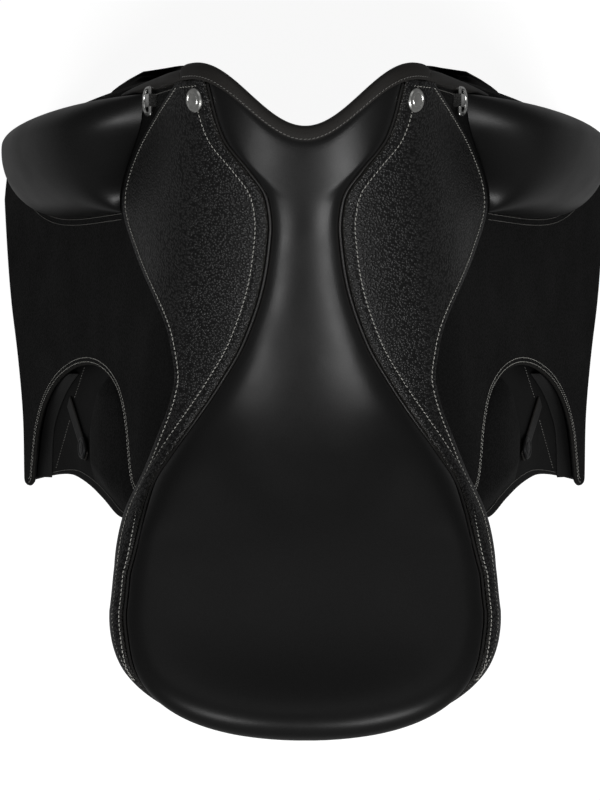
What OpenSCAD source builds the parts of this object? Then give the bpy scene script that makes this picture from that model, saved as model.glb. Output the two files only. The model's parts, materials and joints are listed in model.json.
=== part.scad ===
// Dressage saddle on its tree: seat, skirts, long flaps with knee blocks, panels, billets and stirrup bars.
// X is across the saddle, +Y points to the pommel, +Z is up. The origin lies on the horse's spine line.
// The right-hand pieces are drawn and the left-hand ones are mirrored.

/* [Seat] */
// Height of the seat crest above the spine line at the middle of the saddle
crest_h = 76; // [66:1:90]
// Rise of the crest towards the pommel, per mm of length
pommel_slope = 0.30; // [0.26:0.01:0.34]
// How fast the crest curves up to the cantle, per mm squared
cantle_curve = 0.0023; // [0.0018:0.0001:0.0026]
// Where the crest starts to curve up to the cantle
dip_start = 40; // [30:1:50]
// Half width of the cantle at its widest
cantle_w = 131; // [124:1:138]
// Where the cantle is widest
cantle_wide_y = -145; // [-150:1:-140]
// Length of the round rear end behind the widest place
cantle_len = 77; // [71:1:83]
// Depth of the rolled edge round the cantle
edge_fall = 30; // [26:1:36]
// Rise of the seat from its middle to its sides at the rear
seat_dish = 8; // [4:1:12]
// Front edge of the pommel at the middle
pommel_y = 186; // [182:1:190]
// How far the pommel's side points reach ahead of its middle
pommel_notch = 45; // [39:1:49]
// Half width of the pommel between its side points
pommel_half_w = 76; // [73:1:80]
// Thickness of the seat leather with its backing
seat_leather_t = 4.5; // [4:0.1:5]
// Thickness of the seat foam
foam_t = 14; // [12:0.5:16]
// Width of the rolled pommel facing
facing_w = 9; // [8:0.5:11]
// Radius of the welt between seat and skirts
welt_r = 1.7; // [1.4:0.1:2]

/* [Flaps and skirts] */
// Slope of the flaps below level, in degrees
flap_angle = 70; // [68:0.5:72]
// Distance from the middle to the flap's plane at crest height
flap_x = 90; // [87:0.5:94]
// Length of the bend from the seat's top into the flap's plane
bend_len = 80; // [74:1:84]
// Thickness of the flap leather
flap_t = 3.6; // [3:0.1:4]
// Thickness of the skirt leather
skirt_t = 3; // [2.6:0.1:3.4]
// Thickness of the sweat flap
sweat_t = 3; // [2.6:0.1:3.4]
// How far the flap's lower edge passes the sweat flap's, measured across the saddle
sweat_short = 4; // [2:1:8]
// Distance from the middle to the flap's fold line at its front end
fold_front_x = 84; // [83:0.5:85]
// Distance from the middle to the flap's fold line at its rear end
fold_rear_x = 87; // [86:0.5:87.5]
// Height of the knee block above the flap
block_h = 50; // [40:1:54]
// Distance from the middle to the lower end of the knee block's base
block_end_x = 203; // [194:1:208]
// Height of the thigh pad's crown
pad_crown = 9; // [6:0.5:11]

/* [Tree and panels] */
// Thickness of the tree
tree_t = 10; // [9:0.5:12]
// Half width of the tree's rails at the waist
rail_half_w = 72; // [68:1:75]
// Half width of the slot between the rails
slot_half_w = 30; // [26:1:33]
// Thickness of the steel head plate and the tree springs
steel_t = 3; // [2.5:0.1:3.4]
// Width of the flat tree springs
spring_w = 16; // [13:1:18]
// Thickness of each straining web
web_t = 1.2; // [1:0.1:1.4]
// Width of the straining web from pommel to cantle
strain_web_w = 50; // [44:1:54]
// Half width of the channel between the panels
channel_half_w = 36; // [32:1:39]
// Depth of the panels below the tree line
panel_t = 50; // [46:1:56]
// How fast the panels' underside curves up to the rear, per mm squared
panel_curve = 0.0012; // [0.001:0.0001:0.0014]
// Thickness of the gullet lining
lining_t = 1.8; // [1.5:0.1:2.2]

/* [Billets, bars and hardware] */
// Width of a girth billet
billet_w = 25; // [22:1:28]
// Thickness of a girth billet
billet_t = 4; // [3.5:0.1:4.4]
// Length of a girth billet below its web
billet_len = 285; // [270:1:292]
// Diameter of the punched billet holes
billet_hole_d = 5; // [4:0.5:6]
// Spacing of the billet holes
billet_pitch = 25; // [22:1:28]
// Length of a stirrup bar
bar_len = 56; // [50:1:60]
// Width of a stirrup bar
bar_w = 11; // [9:0.5:12]
// Thickness of a stirrup bar
bar_t = 5; // [4.5:0.1:5.2]
// Length of the bar's hinged safety catch
catch_len = 14; // [12:0.5:16]
// Diameter of the rivets' shanks
rivet_d = 5; // [4:0.5:6]
// Diameter of a saddle nail's head
nail_d = 16.5; // [15:0.5:18]
// Diameter of the keeper stud's head
stud_d = 17; // [15:0.5:18]
// Width of the keeper strap
keeper_w = 11; // [9:0.5:12]
// Thickness of the keeper strap
keeper_t = 2; // [1.6:0.1:2.2]
// Inside width of a front dee ring
dee_w = 18; // [16:1:20]
// Wire diameter of a front dee ring
dee_wire = 3; // [2.6:0.1:3.4]

/* [Hidden] */
// Clearance between neighbouring layers, and between layers that nobody sees
gap = 0.35;
inner_gap = 0.8;
$fn = 32;
// Heights of the layers above (+) or below (-) the surface that carries the skirts
skirt_low = inner_gap;
skirt_high = skirt_low + skirt_t;
foam_high = -inner_gap;
foam_low = foam_high - foam_t;
strain_low = foam_low - inner_gap - web_t;
cross_low = strain_low - gap - web_t;
tree_high = cross_low - inner_gap;
tree_low = tree_high - tree_t;
steel_low = tree_low - gap - steel_t;
panel_high = steel_low - inner_gap;
billet_high = -flap_t - 1.5 * inner_gap;
billet_low = billet_high - billet_t;
sweat_high = billet_low - inner_gap;
sweat_low = sweat_high - sweat_t;
fold_front_y = 206;
fold_rear_y = 10;
welt_room = 2 * welt_r + 4 * gap;
// Places of the hardware, as x and y on the surfaces
bar_at = [92, 130];
bar_rise = 7.6;
nail_at = [72, 205];
stud_at = [173, -36];
keeper_from = [188, -1];
dee_at = [105, 210];
head_rivets_at = [[24, 165], [48, 180]];
billet_top_x = 124;
billets_y = [100, 58];
skirt_front_y = pommel_y + pommel_notch - 12;
rear_y = cantle_wide_y - cantle_len;
far = 400;

// Straight line, smooth step and smooth curve through points given as [place, value]
function mix(a, b, t) = a + (b - a) * t;
function step01(t) = let (u = min(1, max(0, t))) u * u * (3 - 2 * u);
function seg(p, v, i = 0) = (i >= len(p) - 2 || v < p[i + 1][0]) ? i : seg(p, v, i + 1);
function slope_at(p, i) = let (a = p[max(0, i - 1)], b = p[min(len(p) - 1, i + 1)])
  (b[1] - a[1]) / (b[0] - a[0]);
function curve(p, v) = let (i = seg(p, v), a = p[i], b = p[i + 1], w = b[0] - a[0],
  t = min(1, max(0, (v - a[0]) / w)), t2 = t * t, t3 = t2 * t)
  a[1] * (2 * t3 - 3 * t2 + 1) + b[1] * (3 * t2 - 2 * t3)
  + w * (slope_at(p, i) * (t3 - 2 * t2 + t) + slope_at(p, i + 1) * (t3 - t2));
function spread(a, b, n) = [for (i = [0:n]) mix(a, b, i / n)];

// Half width of the skirts' outer edge from the cantle's widest place to the pommel
skirt_edge = [[cantle_wide_y, cantle_w], [-84, 124], [-41, 106], [10, 89.5], [35, 91], [57, 96.5],
  [106, 118], [143, 128], [178, 116], [217, 87]];
// Half width of the smooth seat leather
cantle_power = 2.3;
band_w = 9;
band_y = -120;
seat_edge = [[band_y, curve(skirt_edge, band_y) - band_w], [-61, 103], [-39, 90], [-10, 70], [14, 54.5],
  [39, 40.5], [76, 27.6], [113, 22],  [129, 22.6], [142, 26], [156, 36], [179, 53], [219, 64]];
function outline_w(y) = y < cantle_wide_y
  ? cantle_w * pow(max(0, 1 - pow((cantle_wide_y - y) / cantle_len, cantle_power)), 1 / cantle_power)
  : curve(skirt_edge, y);
function seat_w(y) = y < band_y ? outline_w(y) - band_w * step01((y - rear_y - 4) / 60)
  : curve(seat_edge, y);
function pommel_front(x) = pommel_y
  + pommel_notch * (1 - cos(180 * min(abs(x), pommel_half_w) / pommel_half_w)) / 2;

// Crest of the flaps' ruled surface, and of the seat that leaves it to climb the cantle
function crest_line(y) = crest_h + pommel_slope * y;
function crest(y, bend) = crest_line(y) + bend * pow(max(0, dip_start - y), 2);
function plane_x(z) = flap_x + (crest_h - z) / tan(flap_angle);
// Cross-section from a level crest through a parabola into the flap's plane
function section_z(px, zc) = let (x = abs(px), a = plane_x(zc), q = bend_len * cos(flap_angle),
  h = bend_len * sin(flap_angle), s = (a - sqrt(max(0, a * a - (a - q) * x))) / (a - q))
  x >= a + q ? zc - h - (x - a - q) * tan(flap_angle) : zc - s * s * h;
function cantle_reach(x, y) = y < cantle_wide_y
  ? pow(pow(abs(x) / cantle_w, cantle_power) + pow((cantle_wide_y - y) / cantle_len, cantle_power),
    1 / cantle_power)
  : abs(x) / outline_w(y);
function cantle_z(x, y) = let (r = min(1, cantle_reach(x, y)))
  crest(y, cantle_curve) + seat_dish * r * r - edge_fall * (1 - sqrt(1 - pow(r, 10)));
flap_z = function(x, y) section_z(x, crest_line(y));
back_z = function(x, y) section_z(x, crest(y, panel_curve));
seat_z = function(x, y) mix(section_z(x, crest(y, cantle_curve)), cantle_z(x, y), step01(-y / 100));
function slope_x(surf, x, y) = surf(x + 0.5, y) - surf(x - 0.5, y);
function slope_y(surf, x, y) = surf(x, y + 0.5) - surf(x, y - 0.5);
function normal(surf, x, y) = let (n = [-slope_x(surf, x, y), -slope_y(surf, x, y), 1]) n / norm(n);
function lift(surf, x, y, d) = [x, y, surf(x, y)] + d * normal(surf, x, y);
function fold_x(y) = mix(fold_rear_x, fold_front_x, (y - fold_rear_y) / (fold_front_y - fold_rear_y));

// Closed solid between an outer and an inner grid of points
module slab(outer, inner) {
  n = len(outer);
  m = len(outer[0]);
  k = n * m;
  points = [for (r = outer) each r, for (r = inner) each r];
  sheet = [for (i = [0:n - 2]) for (j = [0:m - 2]) let (a = i * m + j, b = a + 1, c = b + m, d = a + m)
    each [[a, d, c], [a, c, b], [k + a, k + c, k + d], [k + a, k + b, k + c]]];
  ends = [for (j = [0:m - 2]) let (b = j + 1, p = (n - 1) * m + j, q = p + 1)
    each [[j, b, k + b], [j, k + b, k + j], [p, k + q, q], [p, k + p, k + q]]];
  sides = [for (i = [0:n - 2]) let (a = i * m, d = a + m, p = a + m - 1, q = p + m)
    each [[d, a, k + a], [d, k + a, k + d], [p, q, k + q], [p, k + q, k + p]]];
  polyhedron(points, concat(sheet, ends, sides));
}
// Leather of even thickness over a surface, from rows of [x, y]
module leather(surf, rows, high, low)
  slab([for (r = rows) [for (p = r) lift(surf, p[0], p[1], high)]],
    [for (r = rows) [for (p = r) lift(surf, p[0], p[1], low)]]);
// Puts a piece on a surface with its Z axis along the normal and its Y axis towards the pommel
module seated(surf, at, d) {
  z = normal(surf, at[0], at[1]);
  x = cross([0, 1, 0], z) / norm(cross([0, 1, 0], z));
  y = cross(z, x);
  p = lift(surf, at[0], at[1], d);
  multmatrix([[x[0], y[0], z[0], p[0]], [x[1], y[1], z[1], p[1]], [x[2], y[2], z[2], p[2]], [0, 0, 0, 1]])
    children();
}
module left() mirror([1, 0, 0]) children();
module both() {
  children();
  left() children();
}

// Tree: head, rails and cantle in one moulding, with a slot between the rails and holes for its rivets
tree_edge = [[rear_y + 42, 56], [rear_y + 54, 80], [rear_y + 75, 96], [-110, 98], [-60, 86],
  [0, rail_half_w], [70, rail_half_w], [92, 97], [168, 97], [186, 70]];
head_y = 150;
tree_front_y = 188;
tree_rows = [rear_y + 42, rear_y + 48, rear_y + 56, -158, -140, -120, -100, -80, -60, -40, -20, 0, 20, 40,
  60, 68, 80, 92, 112, 130, head_y, 168, 178, tree_front_y];
// Place up to which a layer at a depth may reach behind the pommel's facing
function front_y(x, d) = let (n = normal(seat_z, x, pommel_front(x) - facing_w))
  pommel_front(x + d * n[0]) - facing_w - 2 * gap - d * n[1];
function tree_spot(f, y) = let (x = f * curve(tree_edge, y), front = min(tree_front_y, front_y(x, tree_low)))
  [x, y <= head_y ? y : mix(head_y, front, (y - head_y) / (tree_front_y - head_y))];
bar_rivet_y = [-18, 14];
slot_front_y = 120;
slot_rear_y = -130;
module drill(d, depth) translate([0, 0, -depth]) cylinder(d = d + 0.2, h = 2 * depth);
module rivet_holes() {
  both() for (p = head_rivets_at) seated(seat_z, p, tree_low) drill(rivet_d, 30);
  both() for (y = bar_rivet_y) seated(seat_z, bar_at, tree_low) translate([0, y, 0]) drill(rivet_d, 30);
}
module tree() color("#8a6a45") difference() {
  leather(seat_z, [for (y = tree_rows) [for (f = spread(-1, 1, 20)) tree_spot(f, y)]], tree_high, tree_low);
  for (y = [slot_rear_y, slot_front_y]) translate([0, y, -far]) cylinder(r = slot_half_w, h = 2 * far);
  translate([-slot_half_w, slot_rear_y, -far]) cube([2 * slot_half_w, slot_front_y - slot_rear_y, 2 * far]);
  rivet_holes();
}
// Steel arch under the head
plate_half_w = 62;
plate_len = 18;
module head_plate() color("#8f9296") difference() {
  leather(seat_z, [for (v = [1, 0.5, 0]) [for (x = spread(-plate_half_w, plate_half_w, 16))
    [x, min(tree_front_y + 1, front_y(x, steel_low)) - v * plate_len]]], tree_low - gap, steel_low);
  both() for (p = head_rivets_at) seated(seat_z, p, tree_low) drill(rivet_d, 30);
}
module rivet(grip) {
  translate([0, 0, gap]) cylinder(d = 1.7 * rivet_d, h = 1.5);
  translate([0, 0, -grip]) cylinder(d = rivet_d, h = grip + 2 * gap);
}
module head_rivets() color("#a8aaad") both() for (p = head_rivets_at)
  seated(seat_z, p, tree_high) rivet(tree_t + gap + steel_t);
// Flat spring under each rail
spring_rows = [for (y = tree_rows) if (y >= -140 && y <= head_y) y];
module tree_spring() color("#7d8085") leather(seat_z, [for (y = spring_rows)
  [for (x = [slot_half_w + 4, slot_half_w + 4 + spring_w / 2, slot_half_w + 4 + spring_w]) [x, y]]],
  tree_low - gap, steel_low);

// Stirrup bar: base plate, front post and bar open to the rear, where the catch closes it
bar_plate_t = 3;
catch_pin_y = -bar_len / 2 + 5;
module stirrup_bar() color("#9a9c9f") seated(seat_z, bar_at, tree_high + gap) difference() {
  union() {
    translate([-bar_w / 2, -bar_len / 2 + 4, 0]) cube([bar_w, bar_len - 4, bar_plate_t]);
    translate([-bar_w / 2, bar_len / 2 - 9, 0]) cube([bar_w, 9, bar_plate_t + bar_rise + bar_t]);
    translate([-bar_w / 2, catch_pin_y, bar_plate_t + bar_rise])
      cube([bar_w, bar_len / 2 - catch_pin_y, bar_t]);
    translate([-bar_w / 2, catch_pin_y, bar_plate_t + bar_rise + bar_t / 2]) rotate([0, 90, 0])
      cylinder(d = bar_t, h = bar_w);
  }
  translate([-2.5 - gap, catch_pin_y - bar_t, bar_plate_t + bar_rise - 1])
    cube([5 + 2 * gap, 1.5 * bar_t + gap + 1, bar_t + 2]);
  translate([-bar_w, catch_pin_y, bar_plate_t + bar_rise + bar_t / 2]) rotate([0, 90, 0])
    cylinder(d = 2, h = 2 * bar_w);
  for (y = bar_rivet_y) translate([0, y, 0]) drill(rivet_d, 2 * bar_plate_t);
}
module bar_rivets() color("#a8aaad") both() for (y = bar_rivet_y)
  seated(seat_z, bar_at, tree_high + gap + bar_plate_t) translate([0, y, 0])
    rivet(bar_plate_t + gap + tree_t);
module bar_catch() color("#b4b6b8")
  seated(seat_z, bar_at, tree_high + gap + bar_plate_t + bar_rise + bar_t / 2)
  translate([0, catch_pin_y, 0]) {
    translate([-bar_w / 2, 0, 0]) rotate([0, 90, 0]) cylinder(d = 1.9, h = bar_w);
    translate([-2.5, 0, 0]) rotate([0, 90, 0]) cylinder(d = bar_t - 0.4, h = 5);
    translate([-2.5, -catch_len, -bar_t / 2 + 0.2]) cube([5, catch_len, bar_t - 0.4]);
  }

// Webs strained over the slot to carry the seat
web_front_y = 168;
module straining_web() color("#c9c2ae") leather(seat_z, [for (y = tree_rows) if (y <= web_front_y)
  [for (f = [-1, -0.5, 0, 0.5, 1]) [f * strain_web_w / 2, y]]], foam_low - inner_gap, strain_low);
module cross_webs() color("#c9c2ae") for (y = [40, -60]) leather(seat_z, [for (v = [-20, 0, 20])
  [for (f = spread(-1, 1, 10)) [f * (rail_half_w - 8), y + v]]], strain_low - gap, cross_low);

// Rows that bend forward to follow the pommel's notch; place is the row's y at the side
function notch_row(place, half_w, cols) = let (b = step01((place - 60) / 150))
  [for (f = cols) [f * half_w, place - b * (pommel_front(half_w) - pommel_front(f * half_w))]];
half_cols = [0.15, 0.3, 0.45, 0.6, 0.72, 0.84, 0.94, 1];
cushion_cols = concat([for (i = [7:-1:0]) -half_cols[i]], [0], half_cols);
foam_reach = 0.93;
foam_rear_y = rear_y + 8;
foam_front_y = skirt_front_y - 14;
foam_spread_y = -90;
foam_spread_len = 30;
foam_rows = [foam_rear_y, rear_y + 11, rear_y + 18, rear_y + 26, -186, -172, -158, -140, -120, -100, -80,
  -60, -40, -20, 0, 20, 40, 80, 115, 145, 170, 190, foam_front_y];
function front_place(half_w) = pommel_front(half_w) - facing_w - gap;
// The foam keeps inside the fold line ahead of the cantle, and spreads with the cantle behind it
function foam_w(y) = min(foam_reach * outline_w(max(y, foam_rear_y)),
  mix(fold_x(y) - 2, far, step01((foam_spread_y - y) / foam_spread_len)));
module seat_foam() color("#3a3a3c") difference() {
  leather(seat_z, concat([for (y = foam_rows) notch_row(y, foam_w(y), cushion_cols)],
    [[for (f = cushion_cols) let (x = f * foam_w(foam_front_y)) [x, front_y(x, foam_low)]]]),
    foam_high, foam_low);
  both() seated(seat_z, bar_at, -far / 2) translate([-13, -bar_len / 2 - catch_len, 0])
    cube([far, bar_len + catch_len + 6, far]);
}
// Smooth seat leather over the foam
cover_rows = [rear_y + 0.8, rear_y + 2, rear_y + 4.5, rear_y + 9, rear_y + 16, rear_y + 24, -186, -172, -158,
  -140, -120, -100, -80, -60, -40, -20, 0, 20, 40, 65, 90, 113, 124, 135, 145, 155, 165, 175, 195,
  skirt_front_y - 9, front_place(seat_w(skirt_front_y))];
module seat_cover() color("#161617") leather(seat_z, [for (y = cover_rows)
  notch_row(y, seat_w(y), cushion_cols)], gap + seat_leather_t, gap);
// Rolled facing along the pommel's notch: a rounded strip seen end-on, carried across the front
facing_drop = (seat_leather_t - steel_low) / 2;
facing_edge = 1;
facing_half = fold_front_x - 3;
function facing_ring(x, f, wide) = let (y = pommel_front(x) - facing_w + gap, p = lift(seat_z, x, y, gap),
  n = normal(seat_z, x, y), down = [n[0], 0, n[2]] / norm([n[0], n[2]]), a = 180 * f - 90,
  reach = facing_w - 2 * gap)
  p + [0, wide * mix(facing_edge, reach, cos(a)), 0]
  + down * (seat_leather_t - facing_drop + facing_drop * sin(a));
module pommel_facing() color("#1b1b1c") slab(
  [for (f = spread(0, 1, 6)) [for (x = spread(facing_half, -facing_half, 28)) facing_ring(x, f, 1)]],
  [for (f = spread(0, 1, 6)) [for (x = spread(facing_half, -facing_half, 28)) facing_ring(x, f, 0)]]);

// Leather wall round the back of the cantle, from the seat's rim down to the panels
wall_h = 42;
wall_lean = 10;
wall_t = 2.5;
wall_front_y = -93;
wall_turn = 0.6;
wall_below = 3;
// Point of the cantle's outline; the place runs from -1 at the left front end over 0 at the rear to 1
function rim(place, inset) = let (t = abs(place), a = 90 * min(1, t / wall_turn),
  y = mix(cantle_wide_y, wall_front_y, (t - wall_turn) / (1 - wall_turn)))
  t > wall_turn ? [sign(place) * (outline_w(y) - inset), y]
  : [sign(place) * (cantle_w - inset) * pow(sin(a), 2 / cantle_power),
    cantle_wide_y - (cantle_len - inset) * pow(max(0, cos(a)), 2 / cantle_power)];
function wall_point(place, v, inset) = let (p = rim(place, inset + wall_lean * (1 - v)), r = rim(place, 1),
  top = seat_z(r[0], r[1]) - wall_below) [p[0], p[1], top - wall_h * (1 - v)];
module cantle_facing() color("#1b1b1c") slab(
  [for (v = [0, 0.35, 0.7, 1]) [for (t = spread(-1, 1, 36)) wall_point(t, v, 1)]],
  [for (v = [0, 0.35, 0.7, 1]) [for (t = spread(-1, 1, 36)) wall_point(t, v, 1 + wall_t)]]);

// Piped welt that lies between the seat leather and the skirt
welt_rows = [-186, -172, -158, -140, -120, -100, -80, -60, -40, -20, 0, 20, 40, 65, 90, 113, 124, 135, 145,
  155, 165, 175, 195, skirt_front_y - 5];
function welt_place(y) = [seat_w(y) + welt_r + 2 * gap, y];
welt_sides = 6;
module welt() color("#111112") {
  n = len(welt_rows);
  rings = [for (y = welt_rows) let (c = welt_place(y), u = welt_place(y + 1) - welt_place(y - 1),
    across = [u[1], -u[0]] / norm(u), z = normal(seat_z, c[0], c[1]),
    mid = lift(seat_z, c[0], c[1], gap + welt_r),
    side = [across[0], across[1], -(z[0] * across[0] + z[1] * across[1]) / z[2]], side_u = side / norm(side))
    [for (k = [0:welt_sides - 1]) mid + welt_r * (side_u * cos(60 * k) + z * sin(60 * k))]];
  polyhedron([for (r = rings) each r], concat([[for (k = [welt_sides - 1:-1:0]) k]],
    [for (i = [0:n - 2]) for (k = [0:welt_sides - 1]) let (a = i * welt_sides + k,
      b = i * welt_sides + (k + 1) % welt_sides)
      each [[a, b + welt_sides, a + welt_sides], [a, b, b + welt_sides]]],
    [[for (k = [0:welt_sides - 1]) (n - 1) * welt_sides + k]]));
}

// Skirt: the root is sewn to the seat, and the outer part lifts along the fold line
// The lifting part starts where the root's edge leaves the fold line
lip_start = 7;
root_rows = [rear_y + 25, -186, -172, -158, -140, -120, -100, -80, -60, -40, -20, lip_start - 0.9,
  lip_start - gap, 20, 40, 65, 90, 113, 124, 135, 145, 155, 165, 175, 195, skirt_front_y - 9,
  skirt_front_y - 1];
function root_out(y) = y < lip_start - 0.5 ? outline_w(y) : min(outline_w(y), fold_x(y) - gap);
module skirt_root() color("#1e1e1f") difference() {
  leather(seat_z, [for (y = root_rows) let (a = seat_w(y) + welt_room, b = max(a + 1.5, root_out(y)))
    [for (t = [0, 0.25, 0.5, 0.75, 1]) [mix(a, b, t), y]]], skirt_high, skirt_low);
  seated(seat_z, nail_at, skirt_low) drill(nail_shank_d, 20);
}
lip_rows = [lip_start, 14, 25, 40, 60, 75, 90, 106, 120, 132, 143, 155, 168, 180, 195, 207, 217];
module skirt() color("#1e1e1f") leather(seat_z, [for (y = lip_rows) let (a = fold_x(y) + gap,
  b = max(a + 1.5, outline_w(y))) [for (t = spread(0, 1, 5)) [mix(a, b, t), y]]], skirt_high, skirt_low);

// Saddle nail with a stepped round head
nail_shank_d = 3.5;
module button(d) rotate_extrude() polygon([[0, 0], [d / 2, 0], [d / 2, 1], [d / 2 - 0.8, 1.9],
  [d / 2 - 2.2, 2.1], [d / 2 - 2.7, 1.7], [d / 2 - 3.6, 1.7], [d / 2 - 4.1, 2.1], [0, 2.4]]);
module saddle_nails() color("#b9b9b6") both() seated(seat_z, nail_at, skirt_high + gap) {
  button(nail_d);
  translate([0, 0, -skirt_t - gap]) cylinder(d = nail_shank_d, h = skirt_t + gap + 1);
}

// Panels: flocked cushions that lie on the horse's back each side of the channel
panel_front_y = 236;
panel_rows = [rear_y + 18, rear_y + 22, rear_y + 30, rear_y + 45, -160, -140, -125, -110, -95, -80, -60, -40,
  -20, 0, 40, 80, 120, 160, 195, 218, 230, panel_front_y];
panel_edge = [[rear_y + 18, 54], [rear_y + 25, 74], [rear_y + 40, 97], [-145, 115], [-100, 116], [-50, 128],
  [0, 146], [80, 152], [160, 152], [205, 140], [panel_front_y, 112]];
panel_cols = [0, 0.06, 0.18, 0.34, 0.5, 0.66, 0.82, 0.94, 1];
panel_flare = 14;
panel_nose = 36;
panel_step_x = 102;
panel_step = 16;
panel_turn_y = -125;
panel_turn = 30;
// Height, above a place, of the surface's parallel at a distance; the normal's foot is found in a few rounds
function foot(surf, x, y, d, u, v, rounds) = let (n = normal(surf, u, v))
  rounds == 0 ? lift(surf, u, v, d)[2] : foot(surf, x, y, d, x - d * n[0], y - d * n[1], rounds - 1);
function drop(surf, x, y, d) = foot(surf, x, y, d, x, y, 4);
// The top lies under the tree, under the sweat flap beside it, and below the cantle's facing at the rear
function panel_top(x, y) = let (under_tree = drop(seat_z, x, y, panel_high),
  under_flap = drop(flap_z, x, y, sweat_low - inner_gap),
  under_wall = crest(y, cantle_curve) + seat_dish - edge_fall - wall_h - 3,
  beside = step01((x - panel_step_x) / panel_step) * step01((y + panel_step) / (2 * panel_step)),
  ahead = mix(min(under_tree, under_flap), under_flap, beside),
  behind = mix(under_tree, min(under_tree, under_wall), step01((cantle_reach(x, y) - 0.62) / 0.16)))
  mix(behind, ahead, step01((y - panel_turn_y) / panel_turn));
function panel_low(x, y) = min(drop(back_z, x, y, -panel_t), panel_top(x, y) - 7);
function draw_in(t) = 0.42 + 0.58 * pow(sin(180 * min(1, max(0, t))), 0.45);
function panel_end(y) = 0.45 + 0.55 * step01((y - rear_y - 16) / 22) * step01((panel_front_y + 2 - y) / 22);
function panel_x(y, t) = mix(channel_half_w, curve(panel_edge, y), t);
// The front ends draw back towards the channel
function panel_y(y, t) = y - panel_nose * step01((y - 120) / (panel_front_y - 120)) * pow(1 - t, 2);
function panel_foot(row, t) = let (x = panel_x(row, t), y = panel_y(row, t), z = panel_top(x, y),
  flare = panel_flare * step01((-80 - y) / 80))
  [x + flare * t, y - flare * step01((rear_y + 45 - y) / 27),
    z - (z - panel_low(x, y)) * draw_in(t) * panel_end(row)];
module panel() color("#232324") slab([for (row = panel_rows) [for (t = panel_cols)
    let (x = panel_x(row, t), y = panel_y(row, t)) [x, y, panel_top(x, y)]]],
  [for (row = panel_rows) [for (t = panel_cols) panel_foot(row, t)]]);
// Lining strip that closes the top of the channel
lining_half_w = channel_half_w - 2 * inner_gap;
lining_low = panel_high - lining_t;
module gullet_lining() color("#202021") leather(seat_z, concat([for (y = tree_rows) if (y <= head_y)
    [for (f = spread(-1, 1, 8)) [f * lining_half_w, y]]],
  [[for (f = spread(-1, 1, 8)) [f * lining_half_w, front_y(f * lining_half_w, lining_low)]]]),
  panel_high, lining_low);

// Flap: rear edge with an arch-shaped cut, front edge and lower edge, as [x, y]
flap_rear = [[84, -72], [118, -70], [122, -66], [125, -58], [127, -45], [129.3, -21], [133.5, 0], [140, 13],
  [148.5, 21.5], [160, 26], [174, 24], [188, 14.5], [200, -3], [208.5, -26], [213, -58], [221, -64.5]];
flap_front = [[84, 227], [130, 224], [171, 219], [195, 212], [210, 200], [218, 184], [221, 160]];
flap_bottom = [[-60, 220.5], [-12, 222], [34, 227], [79, 233.5], [127, 238], [182, 241], [230, 240]];
flap_cols = [84, 90, 96, 102, 108, 113, 118, 122, 125, 127, 129.3, 133.5, 140, 148.5, 160, 174, 188, 200,
  206, 209.5, 213, 217, 221];
flap_rule = flap_cols[len(flap_cols) - 1];
stretch_x = 180;
flap_inner_x = 118;
// Room between the sewn part of the skirt and the flap's upper edge behind the fold
flap_clear = 2;
flap_steps = [0, 0.1, 0.2, 0.3, 0.33, 0.4, 0.5, 0.6, 0.7, 0.8, 0.9, 1];
function flap_spot(xn, v) = let (y = mix(curve(flap_rear, xn), curve(flap_front, xn), v),
  b = curve(flap_bottom, y), first = flap_cols[0],
  top = max(fold_x(y) + gap, y < lip_start + 4 ? outline_w(y) + flap_clear : 0))
  [xn > stretch_x ? stretch_x + (xn - stretch_x) * (b - stretch_x) / (flap_rule - stretch_x)
    : xn < flap_inner_x
    ? mix(min(top, flap_inner_x - 1), flap_inner_x, (xn - first) / (flap_inner_x - first))
    : xn, y];
bar_room = [40, 40];
module bar_notch() seated(seat_z, bar_at, -20)
  translate([bar_w / 2 + 4 - bar_room[0], -bar_len / 2 - catch_len - 3, 0])
  cube([bar_room[0], bar_len + catch_len + 9, bar_room[1]]);
module flap() color("#19191a") difference() {
  leather(flap_z, [for (v = flap_steps) [for (x = flap_cols) flap_spot(x, v)]], 0, -flap_t);
  bar_notch();
}
// Sweat flap under the flap, with a hollow rear edge
sweat_rear = [[90, -90], [140, -86], [155, -73], [164, -65.5], [173, -60], [181, -57], [190, -57],
  [203, -59.5], [216, -63]];
sweat_front = [[90, 214], [150, 208], [188, 196], [206, 180], [216, 160]];
sweat_cols = [90, 97, 104, 112, 120, 136, 150, 162, 173, 184, 194, 205, 216];
function sweat_spot(xn, v) = let (y = mix(curve(sweat_rear, xn), curve(sweat_front, xn), v),
  b = curve(flap_bottom, y) - sweat_short, first = sweat_cols[0])
  [mix(fold_x(y) + 3, b, (xn - first) / (sweat_cols[len(sweat_cols) - 1] - first)), y];
module sweat_flap() color("#202021") difference() {
  leather(flap_z, [for (v = spread(0, 1, 8)) [for (x = sweat_cols) sweat_spot(x, v)]],
    sweat_high, sweat_low);
  bar_notch();
}

// Girth billets with punched holes, hung from a web that is sewn to the sweat flap
hole_count = 8;
module billet(place) color("#1c1c1d")
seated(flap_z, [billet_top_x, billets_y[place]], billet_low) difference() {
  linear_extrude(height = billet_t) union() {
    circle(d = billet_w);
    polygon([[0, -billet_w / 2], [billet_len - 12, -billet_w / 2], [billet_len, -billet_w / 4],
      [billet_len, billet_w / 4], [billet_len - 12, billet_w / 2], [0, billet_w / 2]]);
  }
  for (i = [0:hole_count - 1]) translate([billet_len - 30 - i * billet_pitch, 0, -1])
    cylinder(d = billet_hole_d, h = billet_t + 2);
}
web_end_x = billet_top_x - billet_w / 2 * cos(flap_angle) - gap;
module billet_web() color("#2b2b2c") difference() {
  leather(flap_z, [for (y = spread(billets_y[1] - billet_w / 2 - 4, billets_y[0] + billet_w / 2 + 4, 6))
    [for (t = spread(0, 1, 5)) [mix(fold_x(y) + 4, web_end_x, t), y]]], billet_high, billet_low);
  bar_notch();
}

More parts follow.
